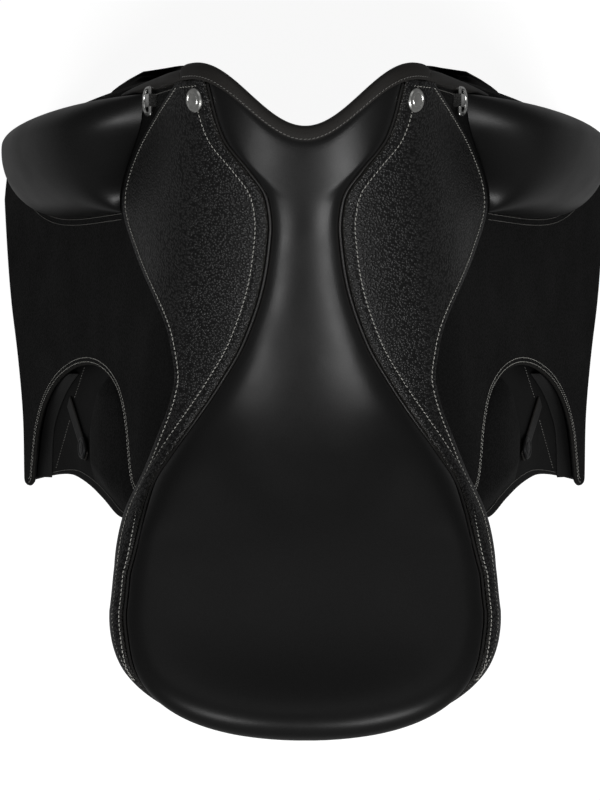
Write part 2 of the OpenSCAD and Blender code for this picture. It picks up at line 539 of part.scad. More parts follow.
// Thigh pad that shows in the arch of the flap, and the keeper strap with its stud
pad_rows = [0, 0.08, 0.22, 0.4, 0.6, 0.78, 0.9, 1];
pad_cols = [0, 0.1, 0.25, 0.5, 0.75, 0.9, 1];
pad_inner = [[-72, 131], [-20, 132], [0, 136.5], [12, 142.5], [22, 151]];
pad_outer = [[-60, 169], [-42, 166], [-25, 166.5], [-12, 168], [4, 163.5], [18, 156.5], [22, 154.5]];
pad_rear_y = -57;
pad_front_y = 21;
pad_hollow = 14;
pad_rim = 3;
function pad_spot(t, v) = let (y = mix(pad_rear_y - pad_hollow * (1 - t), pad_front_y, v))
  [mix(curve(pad_inner, y), curve(pad_outer, y), t), y];
function pad_high(t, v) = sweat_high + gap + pad_rim
  + pad_crown * pow(max(0, sin(180 * t)), 0.6) * step01(v / 0.25) * step01((1 - v) / 0.2);
module thigh_pad() color("#171718") slab(
  [for (v = pad_rows) [for (t = pad_cols) let (p = pad_spot(t, v))
    lift(flap_z, p[0], p[1], pad_high(t, v))]],
  [for (v = pad_rows) [for (t = pad_cols) let (p = pad_spot(t, v))
    lift(flap_z, p[0], p[1], sweat_high + gap)]]);
// Thigh roll under the flap's rear leg: it thins out to its inner edge, which shows in the arch
roll_rows = [-58, -50, -38, -26, -14, -3, 6, 14, 17, 20];
roll_cols = [0, 0.15, 0.3, 0.5, 0.7, 1];
roll_inner = [[-58, 203], [-28, 203], [-12, 199], [5, 191], [14, 184.5], [17, 182], [20, 179.3]];
roll_outer = [[-58, 215], [-26, 213.5], [-3, 207], [6, 202], [14, 194], [17, 189.5], [20, 183]];
roll_rim = 0.8;
roll_low = sweat_high + gap;
roll_high = -flap_t - inner_gap;
function roll_top(t) = mix(roll_low + roll_rim, roll_high, sin(90 * min(1, t / 0.7)));
module thigh_roll() color("#19191a") slab(
  [for (y = roll_rows) [for (t = roll_cols)
    lift(flap_z, mix(curve(roll_inner, y), curve(roll_outer, y), t), y, roll_top(t))]],
  [for (y = roll_rows) [for (t = roll_cols)
    lift(flap_z, mix(curve(roll_inner, y), curve(roll_outer, y), t), y, roll_low)]]);
keeper_run = [(keeper_from[0] - stud_at[0]) / cos(flap_angle), keeper_from[1] - stud_at[1]];
keeper_tail = 9;
module keeper_strap() color("#1c1c1d") seated(flap_z, stud_at, sweat_high + gap) difference() {
  rotate([0, 0, atan2(keeper_run[1], keeper_run[0])]) {
    translate([-keeper_tail, -keeper_w / 2, 0]) cube([norm(keeper_run) + keeper_tail, keeper_w, keeper_t]);
    translate([-keeper_tail, 0, 0]) cylinder(d = keeper_w, h = keeper_t);
  }
  drill(nail_shank_d, 2 * keeper_t);
}
module keeper_studs() color("#b9b9b6") both() seated(flap_z, stud_at, sweat_high + 2 * gap + keeper_t) {
  button(stud_d);
  translate([0, 0, -keeper_t - gap]) cylinder(d = nail_shank_d, h = keeper_t + gap + 1);
}

// Knee block: a crowned cushion on the flap, tallest below its middle and round at its lower end
block_rear_y = 135;
block_front_y = 221;
block_end_w = 24;
block_start_x = 114;
block_cols = [0, 0.03, 0.1, 0.2, 0.32, 0.46, 0.6, 0.74, 0.86, 0.94, 0.98, 1];
block_rows = [0, 0.03, 0.1, 0.22, 0.38, 0.54, 0.7, 0.84, 0.94, 1];
function block_round(u) = pow(max(0, 1 - pow(u, 5)), 0.5);
function block_spot(u, v) = let (mid = (block_rear_y + block_front_y) / 2 + 2 * u,
  half = mix(block_end_w, (block_front_y - block_rear_y) / 2, block_round(u)), y = mid + (2 * v - 1) * half,
  first = max(block_start_x, outline_w(min(217, y)) + 5)) [mix(first, block_end_x, u), y];
function block_high(u, v) = gap + 5 + (block_h - 5) * pow(max(0, 1 - pow(abs(2 * v - 1), 3)), 0.5)
  * pow(sin(180 * mix(0.1, 0.93, u)), 0.5);
module knee_block() color("#151516") slab(
  [for (v = block_rows) [for (u = block_cols) let (p = block_spot(u, v))
    lift(flap_z, p[0], p[1], block_high(u, v))]],
  [for (v = block_rows) [for (u = block_cols) let (p = block_spot(u, v)) lift(flap_z, p[0], p[1], gap)]]);

// Front dee ring in a staple on the flap
dee_h = 15;
staple_w = 9;
dee_rise = 1.5;
module dee_staple() color("#8f9296") seated(flap_z, dee_at, gap) difference() {
  translate([-4, -staple_w / 2, 0]) cube([8, staple_w, dee_wire + dee_rise + 1.4]);
  translate([0, -staple_w, dee_wire / 2 + dee_rise]) rotate([-90, 0, 0])
    cylinder(d = dee_wire + 0.2, h = 2 * staple_w);
}
module dee_ring() color("#b4b6b8") seated(flap_z, dee_at, gap + dee_wire / 2 + dee_rise) {
  translate([0, -dee_w / 2, 0]) rotate([-90, 0, 0]) cylinder(d = dee_wire, h = dee_w);
  for (s = [-1, 1]) translate([0, s * dee_w / 2, 0]) {
    sphere(d = dee_wire);
    rotate([0, 90, 0]) cylinder(d = dee_wire, h = dee_h - dee_w / 2);
  }
  translate([dee_h - dee_w / 2, 0, 0]) rotate([0, 0, -90]) rotate_extrude(angle = 180)
    translate([dee_w / 2, 0]) circle(d = dee_wire);
}

tree();
head_plate();
head_rivets();
left() tree_spring();  // tree_spring_left
tree_spring();  // tree_spring_right
left() stirrup_bar();  // stirrup_bar_left
stirrup_bar();  // stirrup_bar_right
bar_rivets();
left() bar_catch();  // bar_catch_left
bar_catch();  // bar_catch_right
straining_web();
cross_webs();
seat_foam();
seat_cover();
pommel_facing();
cantle_facing();
left() welt();  // welt_left
welt();  // welt_right
left() skirt_root();  // skirt_root_left
skirt_root();  // skirt_root_right
left() skirt();  // skirt_left
skirt();  // skirt_right
saddle_nails();
left() panel();  // panel_left
panel();  // panel_right
gullet_lining();
left() sweat_flap();  // sweat_flap_left
sweat_flap();  // sweat_flap_right
left() billet_web();  // billet_web_left
billet_web();  // billet_web_right
left() billet(0);  // front_billet_left
billet(0);  // front_billet_right
left() billet(1);  // rear_billet_left
billet(1);  // rear_billet_right
left() thigh_pad();  // thigh_pad_left
thigh_pad();  // thigh_pad_right
left() thigh_roll();  // thigh_roll_left
thigh_roll();  // thigh_roll_right
left() keeper_strap();  // keeper_strap_left
keeper_strap();  // keeper_strap_right
keeper_studs();
left() flap();  // flap_left
flap();  // flap_right
left() knee_block();  // knee_block_left
knee_block();  // knee_block_right
left() dee_staple();  // dee_staple_left
dee_staple();  // dee_staple_right
left() dee_ring();  // dee_ring_left
dee_ring();  // dee_ring_right
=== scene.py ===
# %% [markdown]
# # A black dressage saddle, built as a notebook
#
# A saddle is leather shaped over a rigid tree. Almost every visible piece follows one of two smooth
# surfaces: the seat's top, which dips at the waist and climbs to the cantle, and the long plane of
# the flaps. This script writes both surfaces as formulas and lays every piece of leather on them at
# its own height, so neighbouring pieces always fit. The steel parts come from the CAD frame.

# %% Load the CAD frame
import json
import bpy
import numpy as np
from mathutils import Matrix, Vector


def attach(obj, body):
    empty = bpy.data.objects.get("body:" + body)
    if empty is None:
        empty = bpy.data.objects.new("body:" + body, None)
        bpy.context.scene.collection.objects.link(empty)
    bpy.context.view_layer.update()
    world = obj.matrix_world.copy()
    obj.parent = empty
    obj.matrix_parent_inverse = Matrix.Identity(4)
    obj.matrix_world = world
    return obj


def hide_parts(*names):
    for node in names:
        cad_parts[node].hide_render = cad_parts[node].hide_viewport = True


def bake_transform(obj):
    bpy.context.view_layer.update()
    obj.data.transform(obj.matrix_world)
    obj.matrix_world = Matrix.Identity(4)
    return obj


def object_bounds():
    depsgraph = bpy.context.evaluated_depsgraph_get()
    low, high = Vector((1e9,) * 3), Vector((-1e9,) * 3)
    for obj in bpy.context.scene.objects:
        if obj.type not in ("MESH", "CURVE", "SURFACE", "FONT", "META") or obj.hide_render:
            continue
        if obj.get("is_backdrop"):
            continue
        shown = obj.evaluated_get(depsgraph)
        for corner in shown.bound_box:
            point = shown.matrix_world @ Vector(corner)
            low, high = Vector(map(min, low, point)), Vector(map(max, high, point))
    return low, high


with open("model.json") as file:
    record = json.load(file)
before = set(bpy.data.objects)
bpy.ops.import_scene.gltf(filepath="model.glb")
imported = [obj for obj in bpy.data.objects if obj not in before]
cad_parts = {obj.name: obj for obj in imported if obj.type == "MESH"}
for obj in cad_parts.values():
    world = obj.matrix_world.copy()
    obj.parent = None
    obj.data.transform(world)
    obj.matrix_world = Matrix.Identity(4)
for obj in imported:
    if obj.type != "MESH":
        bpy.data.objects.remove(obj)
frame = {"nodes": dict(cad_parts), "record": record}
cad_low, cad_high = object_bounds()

# %% [markdown]
# ## The two surfaces
#
# All lengths below are millimetres; they become metres only when a mesh is made. X runs across the
# saddle, Y runs towards the pommel and Z is up. A cross-section of the saddle is a level crest, a
# parabola that bends down, and then the flap's straight plane at 70 degrees. Sliding that section along a
# straight, rising crest gives the flap's surface. The seat uses the same section ahead of the waist
# and changes into a dished oval with a rolled rim behind it.

# %% Surface formulas
CREST, SLOPE, CLIMB, DIP = 76.0, 0.30, 0.0023, 40.0
TILT, PLANE_X, BEND = np.radians(70.0), 90.0, 80.0
CANTLE_W, CANTLE_Y, CANTLE_L, POWER = 131.0, -145.0, 77.0, 2.3
RIM_RISE, RIM_ROLL = 8.0, 30.0
REAR_Y = CANTLE_Y - CANTLE_L
SKIRT_EDGE = [(CANTLE_Y, CANTLE_W), (-84, 124), (-41, 106), (10, 89.5), (35, 91), (57, 96.5), (106, 118),
              (143, 128), (178, 116), (217, 87)]
BAND_W, BAND_Y = 11.0, -120.0
SEAT_EDGE = [(-61, 103), (-39, 90), (-10, 70), (14, 54.5), (39, 40.5), (76, 27.6), (113, 22), (129, 22.6),
             (142, 26), (156, 36), (179, 53), (219, 64)]


def mix(a, b, t):
    """Value on the way from a to b: a at t 0, b at t 1."""
    return a + (b - a) * t


def step(t):
    """Smooth step: 0 below 0, 1 above 1, and 3t^2 - 2t^3 between."""
    t = np.clip(t, 0, 1)
    return t * t * (3 - 2 * t)


def curve(table, v):
    """Smooth line through (place, value) points: cubics, sloped at each point like the chord around it."""
    x, y = np.array(table, float).T
    k = np.arange(len(x))
    a, b = np.maximum(k - 1, 0), np.minimum(k + 1, len(x) - 1)
    m = (y[b] - y[a]) / (x[b] - x[a])
    v = np.asarray(v, float)
    i = np.clip(np.searchsorted(x, v, side="right") - 1, 0, len(x) - 2)
    w = x[i + 1] - x[i]
    t = np.clip((v - x[i]) / w, 0, 1)
    return (y[i] * (2 * t**3 - 3 * t**2 + 1) + y[i + 1] * (3 * t**2 - 2 * t**3)
            + w * (m[i] * (t**3 - 2 * t**2 + t) + m[i + 1] * (t**3 - t**2)))


def crest(y, climb=0.0):
    """Height of the middle line: straight and rising to the pommel, plus a square law behind the dip."""
    return CREST + SLOPE * y + climb * np.maximum(0, DIP - y) ** 2


def section_z(x, zc):
    """Height of the cross-section whose crest is at zc: a parabola from the crest into the flap's plane."""
    x, zc = np.abs(x), np.asarray(zc, float)
    a = PLANE_X + (CREST - zc) / np.tan(TILT)
    q, h = BEND * np.cos(TILT), BEND * np.sin(TILT)
    s = (a - np.sqrt(np.maximum(0, a * a - (a - q) * x))) / (a - q)
    return np.where(x >= a + q, zc - h - (x - a - q) * np.tan(TILT), zc - s * s * h)


def outline_w(y):
    """Half width of the skirts' outer edge: a super-ellipse round the cantle, a drawn curve ahead of it."""
    back = np.clip((CANTLE_Y - y) / CANTLE_L, 0, 1)
    round_part = CANTLE_W * np.maximum(0, 1 - back**POWER) ** (1 / POWER)
    return np.where(y < CANTLE_Y, round_part, curve(SKIRT_EDGE, y))


def seat_w(y):
    """Half width of the smooth seat leather."""
    start = (BAND_Y, float(curve(SKIRT_EDGE, BAND_Y)) - BAND_W)
    rear = outline_w(y) - BAND_W * step((y - REAR_Y - 4) / 60)
    return np.where(y < BAND_Y, rear, curve([start] + SEAT_EDGE, y))


def rim_share(x, y):
    """Share of the way out to the outline, 0 on the middle line: a super-ellipse's law round the cantle."""
    across, back = np.abs(x / CANTLE_W), np.maximum(0, (CANTLE_Y - y) / CANTLE_L)
    behind = (across**POWER + back**POWER) ** (1 / POWER)
    return np.where(y < CANTLE_Y, behind, np.abs(x) / np.maximum(1, outline_w(y)))


def cantle_z(x, y):
    """Dished oval with an edge that rolls down: r is 0 in the middle and 1 on the outline."""
    r = np.minimum(1, rim_share(x, y))
    return crest(y, CLIMB) + RIM_RISE * r * r - RIM_ROLL * (1 - np.sqrt(1 - r**10))


def seat_z(x, y):
    """Top surface that carries skirts and seat."""
    return mix(section_z(x, crest(y, CLIMB)), cantle_z(x, y), step(-y / 100))


def flap_z(x, y):
    """Ruled surface of the flaps."""
    return section_z(x, crest(y))


def normals(surf, x, y):
    """Unit normals of a height surface, from differences over one millimetre."""
    across, ahead = surf(x - 0.5, y) - surf(x + 0.5, y), surf(x, y - 0.5) - surf(x, y + 0.5)
    n = np.stack([across, ahead, np.ones(np.shape(x))], -1)
    return n / np.linalg.norm(n, axis=-1, keepdims=True)


def lift(surf, x, y, d):
    """Points at distance d above the surface, along its normal."""
    x, y, d = np.broadcast_arrays(np.asarray(x, float), np.asarray(y, float), np.asarray(d, float))
    return np.stack([x, y, surf(x, y)], -1) + d[..., None] * normals(surf, x, y)


FOLD_Y = 10.0, 206.0
NOTCH_Y, NOTCH_DEEP, NOTCH_HALF = 186.0, 45.0, 76.0


def fold_x(y):
    """Half width of the straight line along which skirts and flaps lift."""
    return mix(87.0, 84.0, (y - FOLD_Y[0]) / (FOLD_Y[1] - FOLD_Y[0]))


def pommel_front(x):
    """Front edge of the pommel: a notch in the middle between two forward points."""
    out = np.minimum(np.abs(x), NOTCH_HALF) / NOTCH_HALF
    return NOTCH_Y + NOTCH_DEEP * (1 - np.cos(np.pi * out)) / 2


crest_heights = [round(float(seat_z(0.0, v)), 1) for v in (190.0, 10.0, -200.0)]
print("crest at pommel, waist and cantle:", crest_heights, "mm")

# %% [markdown]
# ## Turning grids of points into leather
#
# Every sheet of leather is a grid of points in plan, lifted onto its surface twice: once for the
# grain side and once for the flesh side. A cut edge of thick leather is burnished round, so near the
# rim both sides bend towards the middle of the thickness and meet there. The distance of each
# point from the rim is measured along the grid and kept on the mesh as an attribute in millimetres,
# so the leather's material can paint the rim a little lighter: a painted highlight along the rolled edges.

# %% Mesh helpers
SIDES = {"right": 1.0, "left": -1.0}


def make_mesh(name, points, faces, material, body, sign=1.0, rim_mm=None):
    """One object from points in millimetres; sign -1 gives its mirror image, with the faces turned round."""
    faces = np.asarray(faces)
    if sign < 0:
        points, faces = points * [-1, 1, 1], faces[:, ::-1]
    mesh = bpy.data.meshes.new(name)
    mesh.from_pydata((points * 0.001).tolist(), [], faces.tolist())
    mesh.polygons.foreach_set("use_smooth", np.ones(len(mesh.polygons), bool))
    if rim_mm is not None:
        layer = mesh.attributes.new("rim_mm", "FLOAT", "POINT")
        layer.data.foreach_set("value", np.asarray(rim_mm, np.float32))
    mesh.materials.append(material)
    obj = bpy.data.objects.new(name, mesh)
    bpy.context.scene.collection.objects.link(obj)
    if isinstance(body, str):
        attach(obj, body)
    return obj


def quads(index, closed=False):
    """Quad faces over a grid of point numbers; closed joins the last column to the first."""
    if closed:
        index = np.concatenate([index, index[:, :1]], 1)
    return np.stack([index[:-1, :-1], index[1:, :-1], index[1:, 1:], index[:-1, 1:]], -1).reshape(-1, 4)


def skin(index):
    """Faces of a closed tube over rings of point numbers, with both ends filled; a ring's count is even."""
    k = np.arange(1, index.shape[1] - 2, 2)
    rings = index[0], index[-1, ::-1]
    ends = [np.stack([np.full(len(k), r[0]), r[k], r[k + 1], r[k + 2]], -1) for r in rings]
    return np.concatenate([quads(index, True), *ends])


def along(grid, axis):
    """Length from the first point along one direction of a grid."""
    gaps = np.linalg.norm(np.diff(grid, axis=axis), axis=-1)
    zero = np.zeros_like(np.take(gaps, [0], axis))
    return np.concatenate([zero, np.cumsum(gaps, axis=axis)], axis)


def rim_distance(grid, rims="nsew"):
    """Distance of each grid point from the named rims: n and s, first and last row; w and e, columns."""
    rows, cols = along(grid, 0), along(grid, 1)
    far = np.full(rows.shape, 1e3)
    picks = {"n": rows, "s": rows[-1:] - rows, "w": cols, "e": cols[:, -1:] - cols}
    return np.minimum.reduce([far] + [picks[k] for k in rims])


def spaced(n, length, edge=6.0, rounds=4):
    """Places 0 to 1 along a length, close together within edge of both ends and even between."""
    near = edge / length * (1 - np.cos(np.linspace(0, np.pi / 2, rounds + 1)[:-1]))
    return np.concatenate([near, np.linspace(edge / length, 1 - edge / length, n), 1 - near[::-1]])


def leather(name, surf, x, y, high, low, material, body, sign=1.0, rims="nsew", roll=None, swell=0.0):
    """Leather over a plan grid: grain side at high, flesh side at low, round at the rims and closed."""
    flat = lift(surf, x, y, (high + low) / 2)
    edge = rim_distance(flat, rims)
    roll = roll or np.max(high - low) / 2
    open_up = np.sqrt(np.clip(1 - (1 - np.clip(edge / roll, 0, 1)) ** 2, 0, 1))
    half = (high - low) / 2 * open_up
    top = lift(surf, x, y, (high + low) / 2 + swell + half)
    under = lift(surf, x, y, (high + low) / 2 - half)
    n, m = x.shape
    index = np.arange(n * m).reshape(n, m)
    inside = np.ones((n, m), bool)
    borders = {"n": np.s_[0], "s": np.s_[-1], "w": np.s_[:, 0], "e": np.s_[:, -1]}
    for rim in rims:
        inside[borders[rim]] = False
    lower = index.copy()
    lower[inside] = n * m + np.arange(inside.sum())
    faces = [quads(index)[:, ::-1], quads(lower)]
    points = [top.reshape(-1, 3), under[inside]]
    count = n * m + inside.sum()
    for rim in (k for k in "nsew" if k not in rims):
        wall = np.stack([top[borders[rim]], under[borders[rim]]])
        ring = count + np.arange(wall.size // 3).reshape(wall.shape[:2])
        faces.append(quads(ring) if rim in "ne" else quads(ring)[:, ::-1])
        points.append(wall.reshape(-1, 3))
        count += wall.size // 3
    points = np.concatenate(points)
    depth = np.full(len(points), 50.0)
    depth[:n * m] = edge.ravel()
    return make_mesh(name, points, np.concatenate(faces), material, body, sign, depth)


def tube(name, path, up, radius, material, body, sign=1.0, sides=10):
    """Round tube along a path, shrunk to nothing at its ends; up is a direction across it at each point."""
    ahead = np.gradient(path, axis=0)
    ahead /= np.linalg.norm(ahead, axis=1, keepdims=True)
    beside = np.cross(ahead, up)
    a = np.arange(sides) * 2 * np.pi / sides
    thick = np.broadcast_to(np.asarray(radius, float), len(path)).copy()
    thick[[0, -1]] = 0.02
    ring = np.cos(a)[None, :, None] * beside[:, None] + np.sin(a)[None, :, None] * up[:, None]
    points = path[:, None] + thick[:, None, None] * ring
    index = np.arange(len(path) * sides).reshape(-1, sides)
    return make_mesh(name, points.reshape(-1, 3), skin(index), material, body, sign)


def pillow(name, top, under, material, body, sign=1.0):
    """Closed cushion from an upper and a lower grid that share their border."""
    n, m = top.shape[:2]
    index = np.arange(n * m).reshape(n, m)
    lower = index.copy()
    lower[1:-1, 1:-1] = n * m + np.arange((n - 2) * (m - 2)).reshape(n - 2, m - 2)
    points = np.concatenate([top.reshape(-1, 3), under[1:-1, 1:-1].reshape(-1, 3)])
    faces = np.concatenate([quads(index)[:, ::-1], quads(lower)])
    return make_mesh(name, points, faces, material, body, sign, np.full(len(points), 50.0))


def outward(obj):
    """Signed volume of a closed mesh in cubic centimetres: positive where its faces point outwards."""
    v = np.empty(len(obj.data.vertices) * 3)
    obj.data.vertices.foreach_get("co", v)
    obj.data.calc_loop_triangles()
    t = np.empty(len(obj.data.loop_triangles) * 3, np.int32)
    obj.data.loop_triangles.foreach_get("vertices", t)
    a, b, c = v.reshape(-1, 3)[t.reshape(-1, 3)].transpose(1, 0, 2)
    return float(np.einsum("ij,ij->i", a, np.cross(b, c)).sum() / 6 * 1e6)

# %% [markdown]
# ## Materials
#
# Black leather is not black paint. Smooth calf has pores far below a millimetre and a wax finish, so it
# shows broad soft lights; printed leather has round pebbles that break every light into specks. Both
# come from one recipe: a cell pattern for the grain, a slower noise for uneven finish, and the rim
# attribute, by which a painted highlight lightens the cut edge. Pattern sizes are given in millimetres
# of the real material.

# %% Material helpers
def linear(hex_colour):
    """Linear RGBA of an sRGB colour written as #rrggbb."""
    c = np.array([int(hex_colour[i:i + 2], 16) for i in (1, 3, 5)]) / 255
    return tuple(np.where(c <= 0.04045, c / 12.92, ((c + 0.055) / 1.055) ** 2.4)) + (1.0,)


def add(tree, kind, settings=None, inputs=None):
    """Adds a node, sets its settings, and links or sets its inputs."""
    made = tree.nodes.new(kind)
    for key, value in (settings or {}).items():
        setattr(made, key, value)
    for key, value in (inputs or {}).items():
        if isinstance(value, bpy.types.NodeSocket):
            tree.links.new(value, made.inputs[key])
        else:
            made.inputs[key].default_value = value
    return made


def calc(tree, operation, *terms):
    """Output of a math node that works on these values or sockets."""
    return add(tree, "ShaderNodeMath", {"operation": operation}, dict(enumerate(terms))).outputs[0]


def new_material(name, colour, roughness, metallic=0.0, ior=1.5):
    """Material with a plain Principled shader, its node tree and that shader."""
    material = bpy.data.materials.new(name)
    material.use_nodes = True
    tree = material.node_tree
    shader = tree.nodes["Principled BSDF"]
    values = {"Base Color": linear(colour), "Roughness": roughness, "Metallic": metallic, "IOR": ior}
    for key, value in values.items():
        shader.inputs[key].default_value = value
    return material, tree, shader


def object_place(tree):
    """Output of the object's own coordinates, in metres, which stay with a piece when it moves."""
    return add(tree, "ShaderNodeTexCoord").outputs["Object"]


def bend_normal(tree, shader, height, depth):
    """Tilts the shader's normal by the slopes of a height pattern, whose full height is depth in metres."""
    bump = add(tree, "ShaderNodeBump", {}, {"Strength": 1.0, "Distance": depth, "Height": height})
    tree.links.new(bump.outputs["Normal"], shader.inputs["Normal"])


def leather_material(name, colour, light, cell_mm, depth_mm, roughness, shine, pits=0.3, smooth=0.35):
    """Grained leather: cells of cell_mm raised by depth_mm, dull pits between them, and a painted highlight
    in the light colour along the rim.
    """
    material, tree, shader = new_material(name, colour, roughness)
    where = object_place(tree)
    warp = add(tree, "ShaderNodeTexNoise", {}, {"Vector": where, "Scale": 300.0 / cell_mm, "Detail": 2.0})
    moved = add(tree, "ShaderNodeVectorMath", {"operation": "MULTIPLY_ADD"},
                {0: warp.outputs["Color"], 1: (0.0006 * cell_mm,) * 3, 2: where})
    cells = add(tree, "ShaderNodeTexVoronoi", {"feature": "SMOOTH_F1"},
                {"Vector": moved.outputs[0], "Scale": 1000.0 / cell_mm, "Smoothness": smooth})
    pore = add(tree, "ShaderNodeTexNoise", {}, {"Vector": where, "Scale": 2500.0, "Detail": 3.0})
    domes = add(tree, "ShaderNodeMapRange", {"interpolation_type": "SMOOTHSTEP"},
                {"Value": cells.outputs["Distance"], "From Min": 0.75, "From Max": 0.1})
    height = calc(tree, "MULTIPLY_ADD", pore.outputs["Fac"], 0.12, domes.outputs["Result"])
    bend_normal(tree, shader, height, depth_mm * 0.001)
    slow = add(tree, "ShaderNodeTexNoise", {}, {"Vector": where, "Scale": 22.0, "Detail": 4.0})
    finish = add(tree, "ShaderNodeMapRange", {},
                 {"Value": slow.outputs["Fac"], "From Min": 0.3, "From Max": 0.7,
                  "To Min": roughness - 0.05, "To Max": roughness + 0.06})
    # Painted highlight: within about two millimetres of the rim the base colour turns towards the light
    # colour.
    rim = add(tree, "ShaderNodeAttribute", {"attribute_name": "rim_mm"})
    wear_and_sheen = add(tree, "ShaderNodeMapRange", {"interpolation_type": "SMOOTHSTEP"},
               {"Value": rim.outputs["Fac"], "From Min": 2.2, "From Max": 0.3, "To Max": 0.55})
    tone = add(tree, "ShaderNodeMix", {"data_type": "RGBA"},
               {0: wear_and_sheen.outputs["Result"], 6: linear(colour), 7: linear(light)})
    tree.links.new(tone.outputs[2], shader.inputs["Base Color"])
    tree.links.new(finish.outputs["Result"], shader.inputs["Roughness"])
    gloss = add(tree, "ShaderNodeMapRange", {},
                {"Value": domes.outputs["Result"], "To Min": shine * (1 - pits), "To Max": shine})
    tree.links.new(gloss.outputs["Result"], shader.inputs["Specular IOR Level"])
    return material


CALF = leather_material("smooth black calf", "#121212", "#201f1e", 0.7, 0.012, 0.34, 0.16)
BLOCK = leather_material("polished black calf", "#0f0f0f", "#201f1e", 0.7, 0.010, 0.36, 0.25)
PEBBLE = leather_material("pebbled black leather", "#121212", "#262523", 1.7, 0.42, 0.38, 0.4, 0.84, 0.2)
FLAP = leather_material("fine-grained black leather", "#0e0e0e", "#242321", 1.4, 0.16, 0.72, 0.12, 0.6)
PANEL = leather_material("soft black panel leather", "#0e0e0e", "#222120", 0.9, 0.03, 0.7, 0.12)
STRAP = leather_material("black bridle leather", "#111111", "#2a2826", 0.8, 0.02, 0.5, 0.2)
print("leathers:", [m.name for m in (CALF, BLOCK, PEBBLE, FLAP, PANEL, STRAP)])

# %% Metals, thread and inner materials
STEEL = {}
for slot, colour, rough in (("forged_steel", "#c9c9c7", 0.24), ("satin_steel", "#bdbdba", 0.3),
                            ("spring_steel", "#7d8084", 0.35), ("blackened_steel", "#2b2b2c", 0.42)):
    material, tree, shader = new_material(slot.replace("_", " "), colour, rough, metallic=1.0)
    scratch = add(tree, "ShaderNodeTexNoise", {},
                  {"Vector": object_place(tree), "Scale": 900.0, "Detail": 4.0})
    wear_and_sheen = add(tree, "ShaderNodeMapRange", {},
               {"Value": scratch.outputs["Fac"], "To Min": rough - 0.08, "To Max": rough + 0.12})
    tree.links.new(wear_and_sheen.outputs["Result"], shader.inputs["Roughness"])
    STEEL[slot] = material
THREADS = []
for name, colour in (("waxed grey thread", "#8c8b86"), ("waxed dark thread", "#5a5956")):
    material, tree, shader = new_material(name, colour, 0.6, ior=1.53)
    twist = add(tree, "ShaderNodeTexNoise", {}, {"Vector": object_place(tree), "Scale": 4000.0})
    bend_normal(tree, shader, twist.outputs["Fac"], 0.0002)
    THREADS.append(material)
GREY_THREAD, DARK_THREAD = THREADS
WEBBING, tree, shader = new_material("woven nylon web", "#8f8a78", 0.75)
weave = add(tree, "ShaderNodeTexWave", {}, {"Vector": object_place(tree), "Scale": 160.0})
bend_normal(tree, shader, weave.outputs["Fac"], 0.0004)
FOAM, _, _ = new_material("closed-cell foam", "#3a3a3c", 0.85)
WOOD, tree, shader = new_material("lacquered beech laminate", "#8a6a45", 0.4)
drawn = add(tree, "ShaderNodeMapping", {}, {"Vector": object_place(tree), "Scale": (300.0, 12.0, 300.0)})
rings = add(tree, "ShaderNodeTexNoise", {}, {"Vector": drawn.outputs[0], "Detail": 5.0})
tone = add(tree, "ShaderNodeMix", {"data_type": "RGBA"},
           {0: rings.outputs["Fac"], 6: linear("#7a5a38"), 7: linear("#a07d55")})
tree.links.new(tone.outputs[2], shader.inputs["Base Color"])
FINISH = {"tree_laminate": WOOD, "webbing": WEBBING, "foam": FOAM, "strap_leather": STRAP,
          "smooth_leather": CALF, "block_leather": BLOCK, "grained_leather": PEBBLE,
          "flap_leather": FLAP, "panel_leather": PANEL, **STEEL}
for part in frame["record"]["subparts"]:
    node = frame["nodes"][part["node"]]
    finish = "blackened_steel" if part["node"] == "keeper_studs" else part["material_slot"]
    node.data.materials.clear()
    node.data.materials.append(FINISH[finish])
print("CAD nodes painted:", len(frame["nodes"]))

# %% [markdown]
# ## Stitches
#
# Saddles are sewn with waxed thread in a wheel-marked row, eight to twelve stitches to the inch. Each stitch
# is a short spindle that dips into the leather at both ends and leans a little across the row, which is the
# mark of a saddle stitch. One small template of points is copied along the path with the path's own
# direction and normal, so a whole row is one mesh.

# %% Stitch row
def resample(path, up, pitch):
    """Points at even spacing along a path, with the direction ahead and the direction up there."""
    run = np.concatenate([[0], np.cumsum(np.linalg.norm(np.diff(path, axis=0), axis=1))])
    s = np.linspace(0, run[-1], max(2, int(run[-1] / pitch)) + 1)
    s = (s[1:] + s[:-1]) / 2

    def read(values, s):
        """Values of the path's corners, read off at run lengths s."""
        return np.stack([np.interp(s, run, values[:, k]) for k in range(3)], 1)

    ways = read(path, s + 0.5) - read(path, s - 0.5), read(up, s)
    return (read(path, s), *(v / np.linalg.norm(v, axis=1, keepdims=True) for v in ways))


THREAD_RINGS, THREAD_SIDES = np.array([-1, -0.8, 0, 0.8, 1]), 6


def stitch_row(name, path, up, body, sign=1.0, pitch=3.3, thick=0.75, lean=0.2, thread=GREY_THREAD):
    """Row of stitches along a path of points; up is the direction out of the leather at each point."""
    at, ahead, up = resample(path, up, pitch)
    side, length = np.cross(up, ahead), 0.76 * pitch
    t = THREAD_RINGS
    fat = np.array([0.25, 0.8, 1, 0.8, 0.25])
    dip = np.array([-0.5, 0.0, 0.25, 0.0, -0.5])
    a = np.arange(THREAD_SIDES) * 2 * np.pi / THREAD_SIDES
    far = t[:, None] * length / 2
    wide = fat[:, None] * np.cos(a) * thick / 2 + lean * t[:, None]
    tall = fat[:, None] * np.sin(a) * thick / 2 + dip[:, None] * thick
    local = np.stack(np.broadcast_arrays(far, wide, tall), -1).reshape(-1, 3)
    points = (at[:, None] + local[:, :1] * ahead[:, None] + local[:, 1:2] * side[:, None]
              + local[:, 2:] * up[:, None])
    one = skin(np.arange(len(local)).reshape(len(t), len(a)))[:, ::-1]
    faces = (one[None] + len(local) * np.arange(len(at))[:, None, None]).reshape(-1, 4)
    return make_mesh(name, points.reshape(-1, 3), faces, thread, body, sign)


